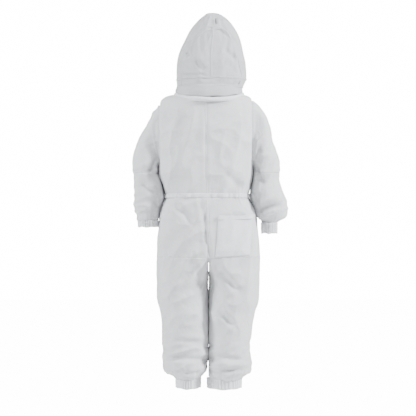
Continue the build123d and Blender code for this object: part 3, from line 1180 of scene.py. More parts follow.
@dataclass
class Suit:
    """The suit's cloth, seams and stitches below the neck."""

    wardrobe: Wardrobe
    stitcher: Repeater
    drape: Drape = field(default_factory=Drape)
    pattern: SuitPattern = field(default_factory=SuitPattern)
    wall: float = 0.0010
    creases: list[Crease] = field(default_factory=lambda: [
        Crease((13, -40, 12, -420), 9, -2.0),
        Crease((38, -440, 17, -560), 12, -3.0),
        Crease((17, -560, -2, -700), 10, -3.5),
        Crease((-5, -712, 62, -785), 14, -5.0),
        Crease((-40, -755, -135, -855), 16, -4.0),
        Crease((-42, -935, -115, -1003), 15, -5.0),
        Crease((-172, -1108, -65, -1175), 16, -5.0),
        Crease((35, -1070, 150, -1062), 13, -3.5),
        Crease((20, -1145, 170, -1138), 13, -4.5),
        Crease((30, -1205, 165, -1200), 11, -4.0),
        Crease((-30, -1130, -150, -1150), 13, -4.0),
        Crease((-10, -1195, -160, -1190), 12, -4.0),
        Crease((225, -255, 262, -330), 12, -5.0),
        Crease((-195, -300, -235, -380), 12, -4.0),
        Crease((300, -380, 225, -430), 14, -4.0),
        Crease((-215, -500, -330, -470), 14, -4.5),
        Crease((150, -470, 60, -560), 16, -3.0),
        Crease((-60, -330, -150, -410), 18, -2.5)])
    gathers: list[Gathers] = field(default_factory=lambda: [
        Gathers((8, -10), WAIST, 34, 62, 1.9, (-215, 225)),
        Gathers((91, 2), -1236, 46, 19, 4.2, (3, 260)),
        Gathers((-68, 2), -1238, 46, 20, 4.2, (-260, 1)),
        Gathers((268, -5), -547, 40, 13, 3.0, (228, 360)),
        Gathers((-266, -5), -556, 40, 13, 3.0, (-360, -226))])

    def build(self) -> bpy.types.Object:
        """Make the draped net, its panels, seams and stitches.

        Returns:
            The whole net as one object, kept for laying pockets on it.
        """
        cloth = self.pattern.build()
        names = sorted(set(cloth.panels))
        slot = {name: k for k, name in enumerate(names)}
        net = new_mesh("net", np.array(cloth.points) * MM, cloth.faces,
                       [self.wardrobe.cloth] * len(names), [slot[p] for p in cloth.panels],
                       cloth.uvs)
        face_outwards(net)
        if max(net.data.polygons, key=lambda f: f.center.x).normal.x < 0:
            net.data.flip_normals()
        self.drape.run(net, cloth.pinned, cloth.slack)
        self.keep_sleeves_out(net)
        net = round_off(net)
        self.fold(net)
        self.net, self.points, self.normals = net, coords(net), normals_of(net)
        self.dress(split_panels(copy_of(net), names, self.wall))
        self.seams()
        return net

    def keep_sleeves_out(self, net: bpy.types.Object) -> None:
        """Hold sleeves outside the strip that stretches at the armhole, and legs apart."""
        points = coords(net)
        for side, rings in self.pattern.sleeve_rings.items():
            limit = (self.pattern.seam_x[side] + side.value * STRETCH) * MM
            for ring in rings[6:self.pattern.elbow_ring + 1]:
                for v in ring:
                    if side.value * (points[v, 0] - limit) < 0:
                        points[v, 0] = limit
            for k, ring in enumerate(rings[6:], 6):
                below = k > self.pattern.elbow_ring
                for v in ring if k >= self.pattern.elbow_ring else []:
                    points[v, 2] = min(points[v, 2], ELBOW) if below else ELBOW
            for ring in self.pattern.leg_rings[side][2:]:
                for v in ring:
                    near = side.value * (points[v, 0] - 0.0018)
                    points[v, 0] += side.value * max(0.0, 0.0012 - near)
        set_coords(net, points)

    def fold(self, net: bpy.types.Object) -> None:
        """Press the drawn folds into the back of the net."""
        points, normals = coords(net), normals_of(net)
        total = sum(c.push(points, normals) for c in self.creases)
        total += Rumple().push(points, normals)
        total += sum(g.push(points, normals) for g in self.gathers)
        hold = np.ones(len(points))
        for side in Side:
            gap = side.value * (points[:, 0] * 1e3 - self.pattern.seam_x[side])
            hold *= np.clip((np.abs(gap - 3) - 6) / 12, 0, 1) ** 0.5
        hold[points[:, 2] < -0.43] = 1.0
        points += normals * (total * hold)[:, None] * MM
        names = sorted(set(self.pattern.cloth.panels))
        for side in Side:
            own = names.index(f"leg_{side.word}")
            legs = {v for f in net.data.polygons if f.material_index == own for v in f.vertices}
            legs = np.array([v for v in legs if points[v, 2] < -0.722])
            edge = (1.8 + side.value * 1.1) * MM
            short = side.value * (points[legs, 0] - edge)
            points[legs, 0] += side.value * np.maximum(0.0, -short)
        set_coords(net, points)

    def dress(self, panels: dict[str, bpy.types.Object]) -> None:
        """Tie the torso and hip panels to the suit's body; leg and sleeve panels only get their
        transforms baked and their frame nodes hidden.
        """
        bends = {"leg": self.bend_knee, "upper_sleeve": self.bend_shoulder,
                 "lower_sleeve": self.bend_elbow}
        for name, obj in panels.items():
            LOG.info("panel %s: %d faces", name, len(obj.data.polygons))
            stem, word = name.rsplit("_", 1)
            if stem in bends:
                bends[stem](obj, word)
                nodes = (f"thigh_{word}", f"shin_{word}") if stem == "leg" else (name,)
                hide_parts(*nodes)
            else:
                sew(obj, "suit", "cloth", name)

    @staticmethod
    def bend_knee(obj: bpy.types.Object, word: str) -> None:
        """Bake a piece's transform into its mesh."""
        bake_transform(obj)

    @staticmethod
    def bend_elbow(obj: bpy.types.Object, word: str) -> None:
        """Bake a piece's transform into its mesh."""
        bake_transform(obj)

    def bend_shoulder(self, obj: bpy.types.Object, word: str) -> None:
        """Bake a piece's transform into its mesh."""
        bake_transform(obj)

    def line(self, indices: list[int], lift: float = 0.0, shift: float = 0.0) -> np.ndarray:
        """Points of a path over the draped net.

        Args:
            indices: Net vertices along the path.
            lift: Distance above the cloth in metres.
            shift: Sideways distance in metres.

        Returns:
            The path's points.
        """
        path, outs = self.points[indices], self.normals[indices]
        ahead = np.gradient(path, axis=0)
        ahead /= np.linalg.norm(ahead, axis=1)[:, None] + 1e-12
        return path + outs * lift + np.cross(ahead, outs) * shift

    def strip(self, name: str, indices: list[int], width: float = 0.009,
              height: float = 0.0020, closed: bool = False) -> bpy.types.Object:
        """A flat-felled seam lying along a path of net vertices."""
        return sweep(name, self.points[indices], self.normals[indices],
                     pad_section(width, height), self.wardrobe.cloth, closed)

    def seams(self) -> None:
        """Lay the seams and their double rows of stitches."""
        p = self.pattern
        n, q, g = p.columns, p.columns // 4, p.grid
        waist = min(range(len(p.levels)), key=lambda i: abs(p.levels[i] - WAIST))
        last = len(p.levels) - 1
        low = p.hole_rows[1]
        back = [g[i][2 * q] for i in range(1, last + 1)]
        left = [g[i][q] for i in range(low, last + 1)]
        right = [g[i][3 * q] for i in range(low, last + 1)]
        left_top = [g[i][p.holes[Side.LEFT][1] - 6] for i in range(0, p.hole_rows[0] + 1)]
        right_top = [g[i][p.holes[Side.RIGHT][0] + 6] for i in range(0, p.hole_rows[0] + 1)]
        fixed = {"centre_back_seam": back, "side_seam_left": left, "side_seam_right": right,
                 "shoulder_seam_left": left_top, "shoulder_seam_right": right_top}
        paths = []
        for name, indices in fixed.items():
            sew(self.strip(name, indices), "suit", "cloth")
            paths += [self.line(indices, 0.0019, s * 0.0024) for s in (-1, 1)]
        for side in Side:
            loop = p.hole_loop(side)
            ring = self.strip(f"armhole_seam_{side.word}", loop, 0.009, 0.0014, True)
            sew(ring, "suit", "cloth")
            path = self.line(loop, 0.0022)
            paths.append(np.vstack([path, path[:1]]))
            rings = p.leg_rings[side]
            outer, inner = n // 4, n // 2 + 13
            legs = []
            for word, column in (("outer", outer), ("inner", inner)):
                indices = [r[column] for r in rings[(6 if word == "inner" else 0):-1]]
                seam = self.strip(f"{word}_leg_seam_{side.word}", indices)
                self.bend_knee(seam, side.word)
                legs += [self.line(indices, 0.0019, s * 0.0024) for s in (-1, 1)]
            run = self.stitcher.along_paths(f"leg_stitches_{side.word}", legs)
            self.bend_knee(run, side.word)
        run = self.stitcher.along_paths("suit_stitches", paths)
        sew(run, "suit", "cloth")
        self.waist_row = g[waist]


@dataclass
class ElasticBands:
    """Gathered casings at the waist, the cuffs and the ankles."""

    wardrobe: Wardrobe
    suit: Suit
    columns: int = 216

    def ring(self, name: str, centre: tuple[float, float], half: tuple[float, float],
             profile: list[tuple[float, float]], gathers: int, depth: float) -> bpy.types.Object:
        """A gathered ring of casing.

        Args:
            name: The piece's name.
            centre: Its x and y in mm.
            half: Half width and half depth in mm.
            profile: Heights and distances out, in mm, from the outer top round to the inner top.
            gathers: How many gathers go round it.
            depth: How deep they are in mm.

        Returns:
            The ring.
        """
        points = []
        top, bottom = max(p[0] for p in profile), min(p[0] for p in profile)
        for k in range(self.columns):
            u = 2 * math.pi * k / self.columns
            wave = math.sin(gathers * u + 1.3 * math.sin(5 * u) + 0.9 * math.sin(11 * u + 1))
            for z, out in profile:
                mid = 1 - abs(2 * (z - bottom) / (top - bottom) - 1) ** 3
                grow = out + depth * wave * (0.35 + 0.65 * mid)
                points.append(((centre[0] + (half[0] + grow) * math.cos(u)) * MM,
                               (centre[1] + (half[1] + grow) * math.sin(u)) * MM,
                               (z + 1.6 * math.sin(3 * u) + 1.1 * math.sin(7 * u + 1)) * MM))
        run = np.arange(self.columns + 1) * 0.003
        return loft(name, points, len(profile), run, 0.005, self.wardrobe.trim, True)

    def build(self) -> None:
        """Make the five casings."""
        for side in Side:
            word = side.word
            for what, rows in (("cuff", self.suit.pattern.sleeves[side]),
                               ("ankle", self.suit.pattern.legs[side])):
                z, x0, x1, y0, y1 = rows[-1]
                low = {"cuff_left": -572, "cuff_right": -600, "ankle_left": -1277,
                       "ankle_right": -1279}[f"{what}_{word}"]
                heights = [z + 5, z - 2, z - 8, (z + low) / 2, low + 8, low + 2, low]
                outs = [-0.5, 2.2, 0.4, 1.0, 0.2, 1.6, -0.6]
                inner = [(low + 2, -3.0), ((z + low) / 2, -3.4), (z + 4, -3.0)]
                ring = self.ring(f"{what}_{word}_casing", ((x0 + x1) / 2, (y0 + y1) / 2),
                                 ((x1 - x0) / 2, (y1 - y0) / 2),
                                 list(zip(heights, outs)) + inner,
                                 30 if what == "cuff" else 34, 2.3)
                body = f"forearm_{word}" if what == "cuff" else f"shin_{word}_body"
                sew(ring, body, "trim", f"{what}_{word}_casing", f"{what}_{word}_elastic")
        self.waist()

    def waist(self) -> None:
        """The waist's gathered tunnel, open in front at the main zip."""
        row = self.suit.waist_row
        keep = [v for j, v in enumerate(row) if 4 <= j <= len(row) - 4]
        path, outs = self.suit.points[keep], self.suit.normals[keep].copy()
        outs[:, 2] = 0
        outs /= np.linalg.norm(outs, axis=1)[:, None]
        fine = np.linspace(0, len(keep) - 1, len(keep) * 5)
        at = np.arange(len(keep))
        path = np.stack([np.interp(fine, at, path[:, k]) for k in range(3)], 1)
        outs = np.stack([np.interp(fine, at, outs[:, k]) for k in range(3)], 1)
        run = fine * 1.1
        wave = np.sin(run * 2.0 + 1.4 * np.sin(run * 0.37)) * 0.0011
        path = path + outs * (wave + 0.0022)[:, None]
        section = pad_section(0.019, 0.0032, 0.002)
        band = sweep("waist_casing", path, outs, section, self.wardrobe.trim, False)
        sew(band, "suit", "trim", "waist_casing", "waist_elastic")
        lines = [path + outs * 0.0034 + np.array([0, 0, z]) for z in (-0.0055, 0.0055)]
        run = self.suit.stitcher.along_paths("waist_stitches", lines)
        sew(run, "suit", "trim")


@dataclass
class Pockets:
    """Patch pockets laid on the draped cloth."""

    wardrobe: Wardrobe
    suit: Suit

    def __post_init__(self) -> None:
        """Make a search tree of the whole net."""
        self.tree = search_tree(self.suit.net)

    def lay(self, name: str, corners: list[tuple[float, float]], face: float, lift: float,
            puff: float, cells: tuple[int, int] = (34, 36), sag: float = 0.0) -> bpy.types.Object:
        """Lay a four-sided patch on the net by dropping it from one side.

        Args:
            name: The piece's name.
            corners: Its corners (x, z) in mm: top left, top right, low right, low left.
            face: +1 to lay it on the back, -1 on the front.
            lift: Distance above the cloth in metres.
            puff: How far its middle stands out in metres.
            cells: How many cells it has each way.
            sag: How far the middle of its top edge sags, in mm.

        Returns:
            The patch, with its edges drawn in to the cloth.
        """
        tree = self.tree
        points, outs = [], []
        a, b, c, d = corners
        for i in range(cells[1] + 1):
            t = i / cells[1]
            for j in range(cells[0] + 1):
                s = j / cells[0]
                x = (a[0] * (1 - s) + b[0] * s) * (1 - t) + (d[0] * (1 - s) + c[0] * s) * t
                z = (a[1] * (1 - s) + b[1] * s) * (1 - t) + (d[1] * (1 - s) + c[1] * s) * t
                z -= sag * 4 * s * (1 - s) * (1 - t)
                hit, normal, _, _ = tree.ray_cast(Vector((x * MM, face * 0.4, z * MM)),
                                                  Vector((0, -face, 0)), 0.8)
                if hit is None:
                    hit, normal, _, _ = tree.find_nearest(Vector((x * MM, face * 0.13, z * MM)))
                edge = min(1.0, 7 * min(s, 1 - s)) * min(1.0, 7 * (1 - t))
                out = lift + puff * edge ** 0.6 * (0.7 + 0.3 * math.sin(5 * s + 3 * t))
                points.append(hit + normal * out)
                outs.append(normal)
        faces, uvs = grid_cells(cells[1], cells[0], .004, .004)
        grid = np.array([tuple(p) for p in points])
        self.grid = grid.reshape(cells[1] + 1, cells[0] + 1, 3)
        self.outs = np.array([tuple(o) for o in outs]).reshape(self.grid.shape)
        obj = new_mesh(name, grid, faces, [self.wardrobe.trim], None, uvs)
        if np.mean([p.normal.y for p in obj.data.polygons]) * face < 0:
            obj.data.flip_normals()
        return thicken(obj, 0.0012, 1.0)

    def edge_lines(self, rows: tuple[int, ...], sides: bool = True) -> list[np.ndarray]:
        """Stitch lines just inside the last patch's edges."""
        g = self.grid + self.outs * 0.0016
        out = [g[:, 1], g[:, -2], g[-2, 1:-1]] if sides else []
        return out + [g[r] for r in rows]

    def build(self) -> None:
        """Make the back pocket with its hem, the chest pocket and the facings."""
        lines = []
        corners = [(-41, -523), (-188, -519), (-176, -692), (-27, -702)]
        obj = self.lay("back_pocket", corners, 1, 0.0016, 0.0065, sag=3)
        sew(obj, "suit", "trim", "back_pocket")
        lines += self.edge_lines(())
        hem = [(-41, -521), (-188.5, -517), (-187, -537), (-39.5, -541)]
        obj = self.lay("back_pocket_hem", hem, 1, 0.0072, 0.0012, (34, 5), sag=3)
        sew(obj, "suit", "trim", "back_pocket_hem")
        lines += self.edge_lines((1, 4), False)
        chest = [(62, -176), (172, -176), (172, -308), (62, -308)]
        obj = self.lay("chest_pocket", chest, -1, 0.0012, 0.004, sag=1)
        sew(obj, "suit", "trim", "chest_pocket")
        lines += self.edge_lines((2, 5))
        for side in Side:
            s = side.value
            strip = self.facing(f"placket_{side.word}", s)
            sew(strip, "suit", "trim", f"placket_{side.word}")
            lines += [self.grid[:, 3], self.grid[:, -3]]
        run = self.suit.stitcher.along_paths("pocket_stitches", lines)
        sew(run, "suit", "trim")

    def facing(self, name: str, s: float) -> bpy.types.Object:
        """A zip facing, from the zip's tape down to the torso's cloth."""
        tree = self.tree
        rows, cols = 125, 9
        points = np.zeros((rows + 1, cols + 1, 3))
        for i in range(rows + 1):
            z = -18 - 624 * i / rows
            for j in range(cols + 1):
                t = j / cols
                x = s * (6.4 + 22 * t)
                hit, _, _, _ = tree.ray_cast(Vector((x * MM, -0.4, z * MM)), Vector((0, 1, 0)), 0.8)
                base = hit.y * 1e3 if hit else -146
                y = -155.6 + (base - 0.8 + 155.6) * smooth((t - 0.45) / 0.55)
                points[i, j] = (x * MM, min(y, base - 0.6) * MM, z * MM)
        faces, uvs = grid_cells(rows, cols, .0025, .005)
        self.grid = points + np.array([0, -0.0008, 0])
        obj = new_mesh(name, points.reshape(-1, 3), faces, [self.wardrobe.trim], None, uvs)
        if np.mean([p.normal.y for p in obj.data.polygons]) > 0:
            obj.data.flip_normals()
        return thicken(obj, 0.0012, -1.0)


# ----------------------------------------------------------------- the hood
@dataclass
class Hood:
    """The hood: cotton panels, black veil, hoops in casings and the collar's cover."""

    wardrobe: Wardrobe
    stitcher: Repeater
    rows: list[Row] = field(default_factory=lambda: [
        (-33, -143, 141, -141, 141), (-50, -152, 141, -172, 140),
        (-90, -164, 142, -214, 135), (-154, -160, 141, -236, 124),
        (-207, -149, 128, -238, 108), (-260, -137, 103, -226, 86),
        (-300, -118, 83, -204, 60), (-332, -96, 57, -176, 30),
        (-354, -74, 35, -146, -2), (-367, -56, 20, -120, -34), (-375, -34, 6, -94, -52)])
    creases: list[Crease] = field(default_factory=lambda: [
        Crease((-4, 2, -146, 60), 10, -4.5), Crease((-40, 300, -124, 246), 7, 3.0),
        Crease((-30, 345, -32, 318), 6, -4.0), Crease((104, 268, 80, 232), 7, -3.0),
        Crease((102, 196, 84, 168), 7, -3.0), Crease((60, 150, 20, 108), 12, -2.5),
        Crease((-70, 200, -120, 150), 12, -2.5), Crease((118, 92, 14, 86), 6, -2.0)])
    face_y: float = -62.0
    rear_y: float = 62.0
    seam_z: float = 80.0
    front: int = 44
    side_columns: int = 26
    back: int = 40
    drape: Drape = field(default_factory=lambda: Drape(growth=0.10, bending=3.0, cap=0.014,
                                                       inset=0.010, frames=22))

    def outline(self, z: float) -> tuple[float, float, float, float]:
        """Centre and half sizes at a height."""
        return read_rows(self.rows, -z)

    def angles(self, z: float) -> list[float]:
        """The angle of every column at one height, from the front centre round by the left."""
        _, cy, _, b = self.outline(z)
        face = math.acos(min(max((cy - self.face_y) / b, -0.95), 0.95))
        rear = math.acos(min(max((cy - self.rear_y) / b, -0.97), 0.0))
        rear = max(rear, face + 0.35)
        out = [face * 2 * k / self.front - face for k in range(self.front)]
        out += [face + (rear - face) * k / self.side_columns for k in range(self.side_columns)]
        out += [rear + (2 * math.pi - 2 * rear) * k / self.back for k in range(self.back)]
        out += [2 * math.pi - rear + (rear - face) * k / self.side_columns
                for k in range(self.side_columns)]
        return out

    def build(self) -> None:
        """Make the hood's net, its panels and everything sewn to them."""
        c = Cloth()
        levels = [33.0]
        while levels[-1] < 345:
            levels.append(levels[-1] + 9.0)
        levels += [354, 361, 367, 371.5, 374.5]
        f, sc, bk = self.front, self.side_columns, self.back
        count = f + 2 * sc + bk
        grid = []
        for i, z in enumerate(levels):
            cx, cy, a, b = self.outline(z)
            row = []
            for j, u in enumerate(self.angles(z)):
                x, y = squircle(u, a, b, 2.0 + 0.25 * smooth((z - 40) / 60))
                veil = j <= f
                if veil and z > 60:
                    depth = max(0.0, self.face_y - cy - y)
                    x *= 1 - 0.05 * smooth(depth / 22) * smooth((z - 60) / 40)
                    z += 5 * smooth(depth / 12) * smooth((levels[i] - 335) / 25)
                elif not veil:
                    z -= 5 * smooth((levels[i] - 340) / 30) * smooth((cy + y - self.face_y) / 14)
                v = c.add((cx + x, cy + y, z))
                row.append(v)
                z = levels[i]
                hoop = j in (0, f, f + sc, f + sc + bk)
                if i < 2 or (veil and z > self.seam_z) or hoop or z > 366:
                    c.pinned.add(v)
                c.slack[v] = 0.42
            grid.append(row)
        tip = c.add((-13, -72, 380.5))
        c.pinned.add(tip)
        seam = min(range(len(levels)), key=lambda i: abs(levels[i] - self.seam_z))
        top = min(range(len(levels)), key=lambda i: abs(levels[i] - 302))
        for i in range(len(levels)):
            for j in range(count):
                k = (j + 1) % count
                if j < f:
                    panel = "chin_bib" if i < seam else "face_veil"
                elif i < seam:
                    panel = "hood_neck_panel"
                elif f + sc <= j < f + sc + bk and i < top:
                    panel = "hood_back_left" if j < f + sc + bk // 2 else "hood_back_right"
                else:
                    panel = "hood_crown"
                u0, u1 = j * 0.0075, (j + 1) * 0.0075
                v0, v1 = i * 0.009, (i + 1) * 0.009
                if i + 1 < len(levels):
                    quad = (grid[i][j], grid[i][k], grid[i + 1][k], grid[i + 1][j])
                    c.face(quad, panel, [(u0, v0), (u1, v0), (u1, v1), (u0, v1)])
                else:
                    c.face((grid[i][j], grid[i][k], tip), panel, [(u0, v0), (u1, v0), (u0, v1)])
        self.grid, self.seam, self.top = grid, seam, top
        names = sorted(set(c.panels))
        slot = {name: k for k, name in enumerate(names)}
        # Hood cloth pieces take the darker hood cotton, which is painted shade.
        cloths = [self.wardrobe.veil if n == "face_veil" else self.wardrobe.hood for n in names]
        net = new_mesh("hood_net", np.array(c.points) * MM, c.faces, cloths,
                       [slot[p] for p in c.panels], c.uvs)
        self.drape.run(net, c.pinned, c.slack)
        net = round_off(net)
        points, normals = coords(net), normals_of(net)
        loose = np.clip((points[:, 1] * 1e3 - self.face_y) / 40, 0, 1)
        loose *= np.clip((points[:, 2] * 1e3 - 36) / 30, 0, 1)
        push = Rumple(7.5, 1.3).push(points - np.array([0, 0, 0.6]), normals)
        push += sum(c.push(points, normals) for c in self.creases)
        set_coords(net, points + normals * (push * loose)[:, None] * MM)
        self.points, self.normals, self.tree = coords(net), normals_of(net), search_tree(net)
        for name, obj in split_panels(net, names, 0.0008).items():
            LOG.info("hood panel %s: %d faces", name, len(obj.data.polygons))
            sew(obj, "hood", "veil" if name == "face_veil" else "cloth", name)
        self.hoops()
        self.seams()
        self.cover()

    def arch(self, y: float) -> tuple[np.ndarray, np.ndarray]:
        """The line where a plane across the hood meets its cloth.

        Args:
            y: The plane in mm.

        Returns:
            Points from the left foot over the top to the right foot, and normals.
        """
        points, outs = [], []
        left, right = ([((-9, z), (s, 0)) for z in range(36, 130, 6)] for s in (1, -1))
        fan = [((-9, 130), (math.cos(u), math.sin(u)))
               for u in (math.pi * k / 60 for k in range(1, 60))]
        for (x, z), (dx, dz) in left + fan + right[::-1]:
            hit, normal, _, _ = self.tree.ray_cast(Vector((x * MM, y * MM, z * MM)),
                                                   Vector((dx, 0, dz)), 0.5)
            if hit is not None:
                points.append(tuple(hit))
                outs.append(tuple(normal))
        points, outs = np.array(points), np.array(outs)
        for _ in range(3):
            points[1:-1] = (points[:-2] + 2 * points[1:-1] + points[2:]) / 4
        return points, outs

    def hoops(self) -> None:
        """The two hoops in their stitched casings."""
        lines = []
        for name, y, height in (("front", self.face_y, 0.0034), ("rear", self.rear_y, 0.0022)):
            path, outs = self.arch(y)
            casing = sweep(f"{name}_hoop_casing", path, outs, pad_section(0.011, height),
                           self.wardrobe.hood, False)
            sew(casing, "hood", "trim", f"{name}_hoop_casing")
            shift = np.array([0, 0.0062, 0])
            lines += [path + outs * 0.0006 + shift, path + outs * 0.0006 - shift]
        run = self.stitcher.along_paths("hoop_stitches", lines)
        sew(run, "hood", "trim")

    def seams(self) -> None:
        """The centre back seam, the seam above the neck panel and the lower edge."""
        f, sc, bk = self.front, self.side_columns, self.back
        mid = f + sc + bk // 2
        runs = {"hood_centre_seam": ([self.grid[i][mid] for i in range(self.seam, self.top + 1)],
                                     False),
                "hood_neck_seam": (self.grid[self.seam], True),
                "hood_lower_seam": (self.grid[1], True)}
        lines = []
        for name, (indices, closed) in runs.items():
            path, outs = self.points[indices], self.normals[indices]
            strip = sweep(name, path, outs, pad_section(0.009, 0.0024), self.wardrobe.hood, closed)
            sew(strip, "hood", "cloth")
            line = path + outs * 0.0025
            lines.append(np.vstack([line, line[:1]]) if closed else line)
        run = self.stitcher.along_paths("hood_stitches", lines)
        sew(run, "hood", "cloth")

    def cover(self) -> None:
        """The loose flap that covers the neck zip behind and at the sides."""
        columns, rows = 150, 8
        points = np.zeros((rows + 1, columns + 1, 3))
        for j in range(columns + 1):
            t = j / columns
            u = math.radians(58 + 244 * t)
            fade = smooth(6 * t) * smooth(6 * (1 - t))
            back = max(0.0, -math.cos(u))
            drop = 13 + 14 * fade + 24 * back ** 1.3 + 1.5 * math.sin(9 * u) * fade
            for i in range(rows + 1):
                s = i / rows
                r = 142.5 + (4.5 + 3 * back) * smooth(s * 1.6) * fade
                r += 1.2 * math.sin(13 * u) * s * fade
                z = 44 - drop * s
                points[i, j] = (r * math.sin(u) * MM, -r * math.cos(u) * MM, z * MM)
        faces, uvs = grid_cells(rows, columns, .004, .005)
        obj = new_mesh("hood_zip_cover", points.reshape(-1, 3), faces, [self.wardrobe.hood],
                       None, uvs)
        if obj.data.polygons[rows * columns // 2].normal.y < 0:
            obj.data.flip_normals()
        obj = thicken(obj, 0.0012)
        sew(obj, "hood", "cloth")


# --------------------------------------------------------- collar and zips
@dataclass
class Fastenings:
    """The rolled collar, the rows of zip teeth and the finishes of the hard parts."""

    wardrobe: Wardrobe
    stitcher: Repeater
    radius: float = 149.0
    height: float = -13.5

    def collar(self) -> None:
        """The padded roll round the neck."""
        columns, around = 240, 14
        points, faces, uvs = [], [], []
        for j in range(columns):
            u = 2 * math.pi * j / columns
            back = max(0.0, -math.cos(u))
            lump = 0.5 * math.sin(17 * u) + 0.6 * math.sin(7 * u + 1)
            side = 1 - math.cos(u) ** 2 if math.cos(u) > 0 else 1.0
            z0 = self.height + 23.0 * side - 29.0 * back ** 1.3 + 1.2 * math.sin(3 * u)
            tall, deep = 10.0 + 0.5 * lump, 6.6 + 0.5 * lump
            for k in range(around):
                v = 2 * math.pi * k / around
                r = self.radius + 1.5 * back + deep * math.cos(v)
                points.append((r * math.sin(u) * MM, -r * math.cos(u) * MM,
                               (z0 + tall * math.sin(v)) * MM))
        for j in range(columns):
            m = (j + 1) % columns
            for k in range(around):
                q = (k + 1) % around
                faces.append((j * around + k, m * around + k, m * around + q, j * around + q))
                u0, u1 = j * .0039, (j + 1) * .0039
                uvs.append([(u0, k * .0035), (u1, k * .0035), (u1, k * .0035 + .0035),
                            (u0, k * .0035 + .0035)])
        obj = new_mesh("collar_band", np.array(points), faces, [self.wardrobe.trim], None, uvs)
        sew(face_outwards(obj), "suit", "trim", "collar_band")

    def teeth(self) -> None:
        """Moulded teeth along the front and round the neck."""
        tree = RepeatTree(Shape.TOOTH, self.wardrobe.teeth).build()
        row = Repeater(tree, 2.6 * MM, 1.5 * MM, 2.8 * MM, 1.7 * MM)
        for side in Side:
            x = side.value * 1.55 * MM
            path = np.array([(x, -154.5 * MM, z * MM) for z in (-20.5, -639.5)])
            obj = row.along_paths(f"main_zip_teeth_{side.word}", [path])
            sew(obj, "suit", "zip_teeth", f"main_zip_teeth_{side.word}")
        ring = Repeater(tree, 2.6 * MM, 1.5 * MM, 2.5 * MM, 1.9 * MM)
        turns = [2 * math.pi * k / 180 for k in range(181)]
        for name, z, body in (("neck_zip_teeth", 19, "suit"), ("hood_zip_teeth", 22.8, "hood")):
            path = np.array([(139.5 * math.sin(u) * MM, -139.5 * math.cos(u) * MM, z * MM)
                             for u in turns])
            obj = ring.along_paths(name, [path])
            sew(obj, body, "zip_teeth", name)

    def hard_parts(self) -> None:
        """Give the kept frame parts their finishes."""
        w = self.wardrobe
        kinds = {"slider": w.metal, "pull": w.metal, "tape": w.tape, "stop": w.metal,
                 "yoke": w.cloth}
        for name, obj in frame["nodes"].items():
            for word, material in kinds.items():
                if word in name:
                    for slot in obj.material_slots:
                        slot.material = material
            if name in ("front_hoop", "rear_hoop"):
                for slot in obj.material_slots:
                    slot.material = w.hoop

    def build(self) -> None:
        """Make the collar and zips."""
        self.collar()
        self.teeth()
        self.hard_parts()


# ----------------------------------------------------------------- studio
@dataclass
class Studio:
    """Floor, lights and camera."""

    floor_z: float = -1.352
    look: tuple[float, float, float] = (0.0045, 0.0, -0.488)
    distance: float = 7.0
    view_width: float = 1.8304
    soft: float = 0.12
    white: float = 16.0

    def floor(self) -> None:
        """A pale floor under the suit."""
        material = HardFinish("floor", (0.93, 0.93, 0.93), 0.0, 0.7, 3.0).build()
        nodes, links = material.node_tree.nodes, material.node_tree.links
        path, mix = nodes.new("ShaderNodeLightPath"), nodes.new("ShaderNodeMixShader")
        glow, out = nodes.new("ShaderNodeEmission"), nodes["Material Output"]
        glow.inputs["Strength"].default_value = self.white
        gain = nodes.new("ShaderNodeMath")
        gain.operation = "MULTIPLY"
        gain.inputs[1].default_value = 0.93
        links.new(path.outputs["Is Camera Ray"], gain.inputs[0])
        links.new(gain.outputs[0], mix.inputs[0])
        links.new(out.inputs[0].links[0].from_socket, mix.inputs[1])
        links.new(glow.outputs[0], mix.inputs[2])
        links.new(mix.outputs[0], out.inputs[0])
        size = 8.0
        points = np.array([(-size, -size, 0), (size, -size, 0), (size, size, 0), (-size, size, 0)])
        points[:, 2] = self.floor_z
        floor = new_mesh("floor", points, [(0, 1, 2, 3)], [material])

    def lights(self) -> None:
        """Large soft lights round the camera and an even white surround."""
        world = bpy.data.worlds.new("surround")
        bpy.context.scene.world = world
        world.use_nodes = True
        nodes, links = world.node_tree.nodes, world.node_tree.links
        path, mix = nodes.new("ShaderNodeLightPath"), nodes.new("ShaderNodeMixShader")
        soft, seen = nodes["Background"], nodes.new("ShaderNodeBackground")
        soft.inputs[0].default_value = seen.inputs[0].default_value = (1, 1, 1, 1)
        soft.inputs[1].default_value, seen.inputs[1].default_value = self.soft, self.white
        links.new(path.outputs["Is Camera Ray"], mix.inputs[0])
        links.new(soft.outputs[0], mix.inputs[1])
        links.new(seen.outputs[0], mix.inputs[2])
        links.new(mix.outputs[0], nodes["World Output"].inputs[0])
        for name, place, size, power in (("key", (-4.2, 1.7, 1.9), 0.6, 730),
                                         ("fill", (4.2, 1.9, 1.4), 0.9, 400),
                                         ("top", (0.3, 1.5, 3.3), 0.8, 130),
                                         ("front", (0.6, -4.5, 1.5), 2.4, 120)):
            light = bpy.data.lights.new(name, "AREA")
            light.size, light.energy = size, power
            obj = bpy.data.objects.new(name, light)
            obj.location = place
            aim = Vector((0, 0, -0.5)) - Vector(place)
            obj.rotation_euler = aim.to_track_quat("-Z", "Y").to_euler()
            bpy.context.scene.collection.objects.link(obj)

    def camera(self) -> None:
        """A long lens behind the suit, level with its middle."""
        lens = bpy.data.cameras.new("camera")
        lens.sensor_width = 36
        lens.lens = 36 * self.distance / self.view_width
        obj = bpy.data.objects.new("camera", lens)
        obj.location = (self.look[0], self.distance, self.look[2])
        obj.rotation_euler = (math.radians(90), 0, math.radians(180))
        bpy.context.scene.collection.objects.link(obj)
        bpy.context.scene.camera = obj

    def build(self) -> None:
        """Set the stage."""
        self.floor()
        self.lights()
        self.camera()


@dataclass(frozen=True)
class Cut:
    """How a panel was cut before it was sewn: flat width, length and area in metres."""

    width: float
    length: float
    area: float
    held: str
    rests_on: str

    def declare(self, obj: bpy.types.Object, with_pieces: list[bpy.types.Object]) -> None:
        """Take a piece of this cut and do nothing with it."""


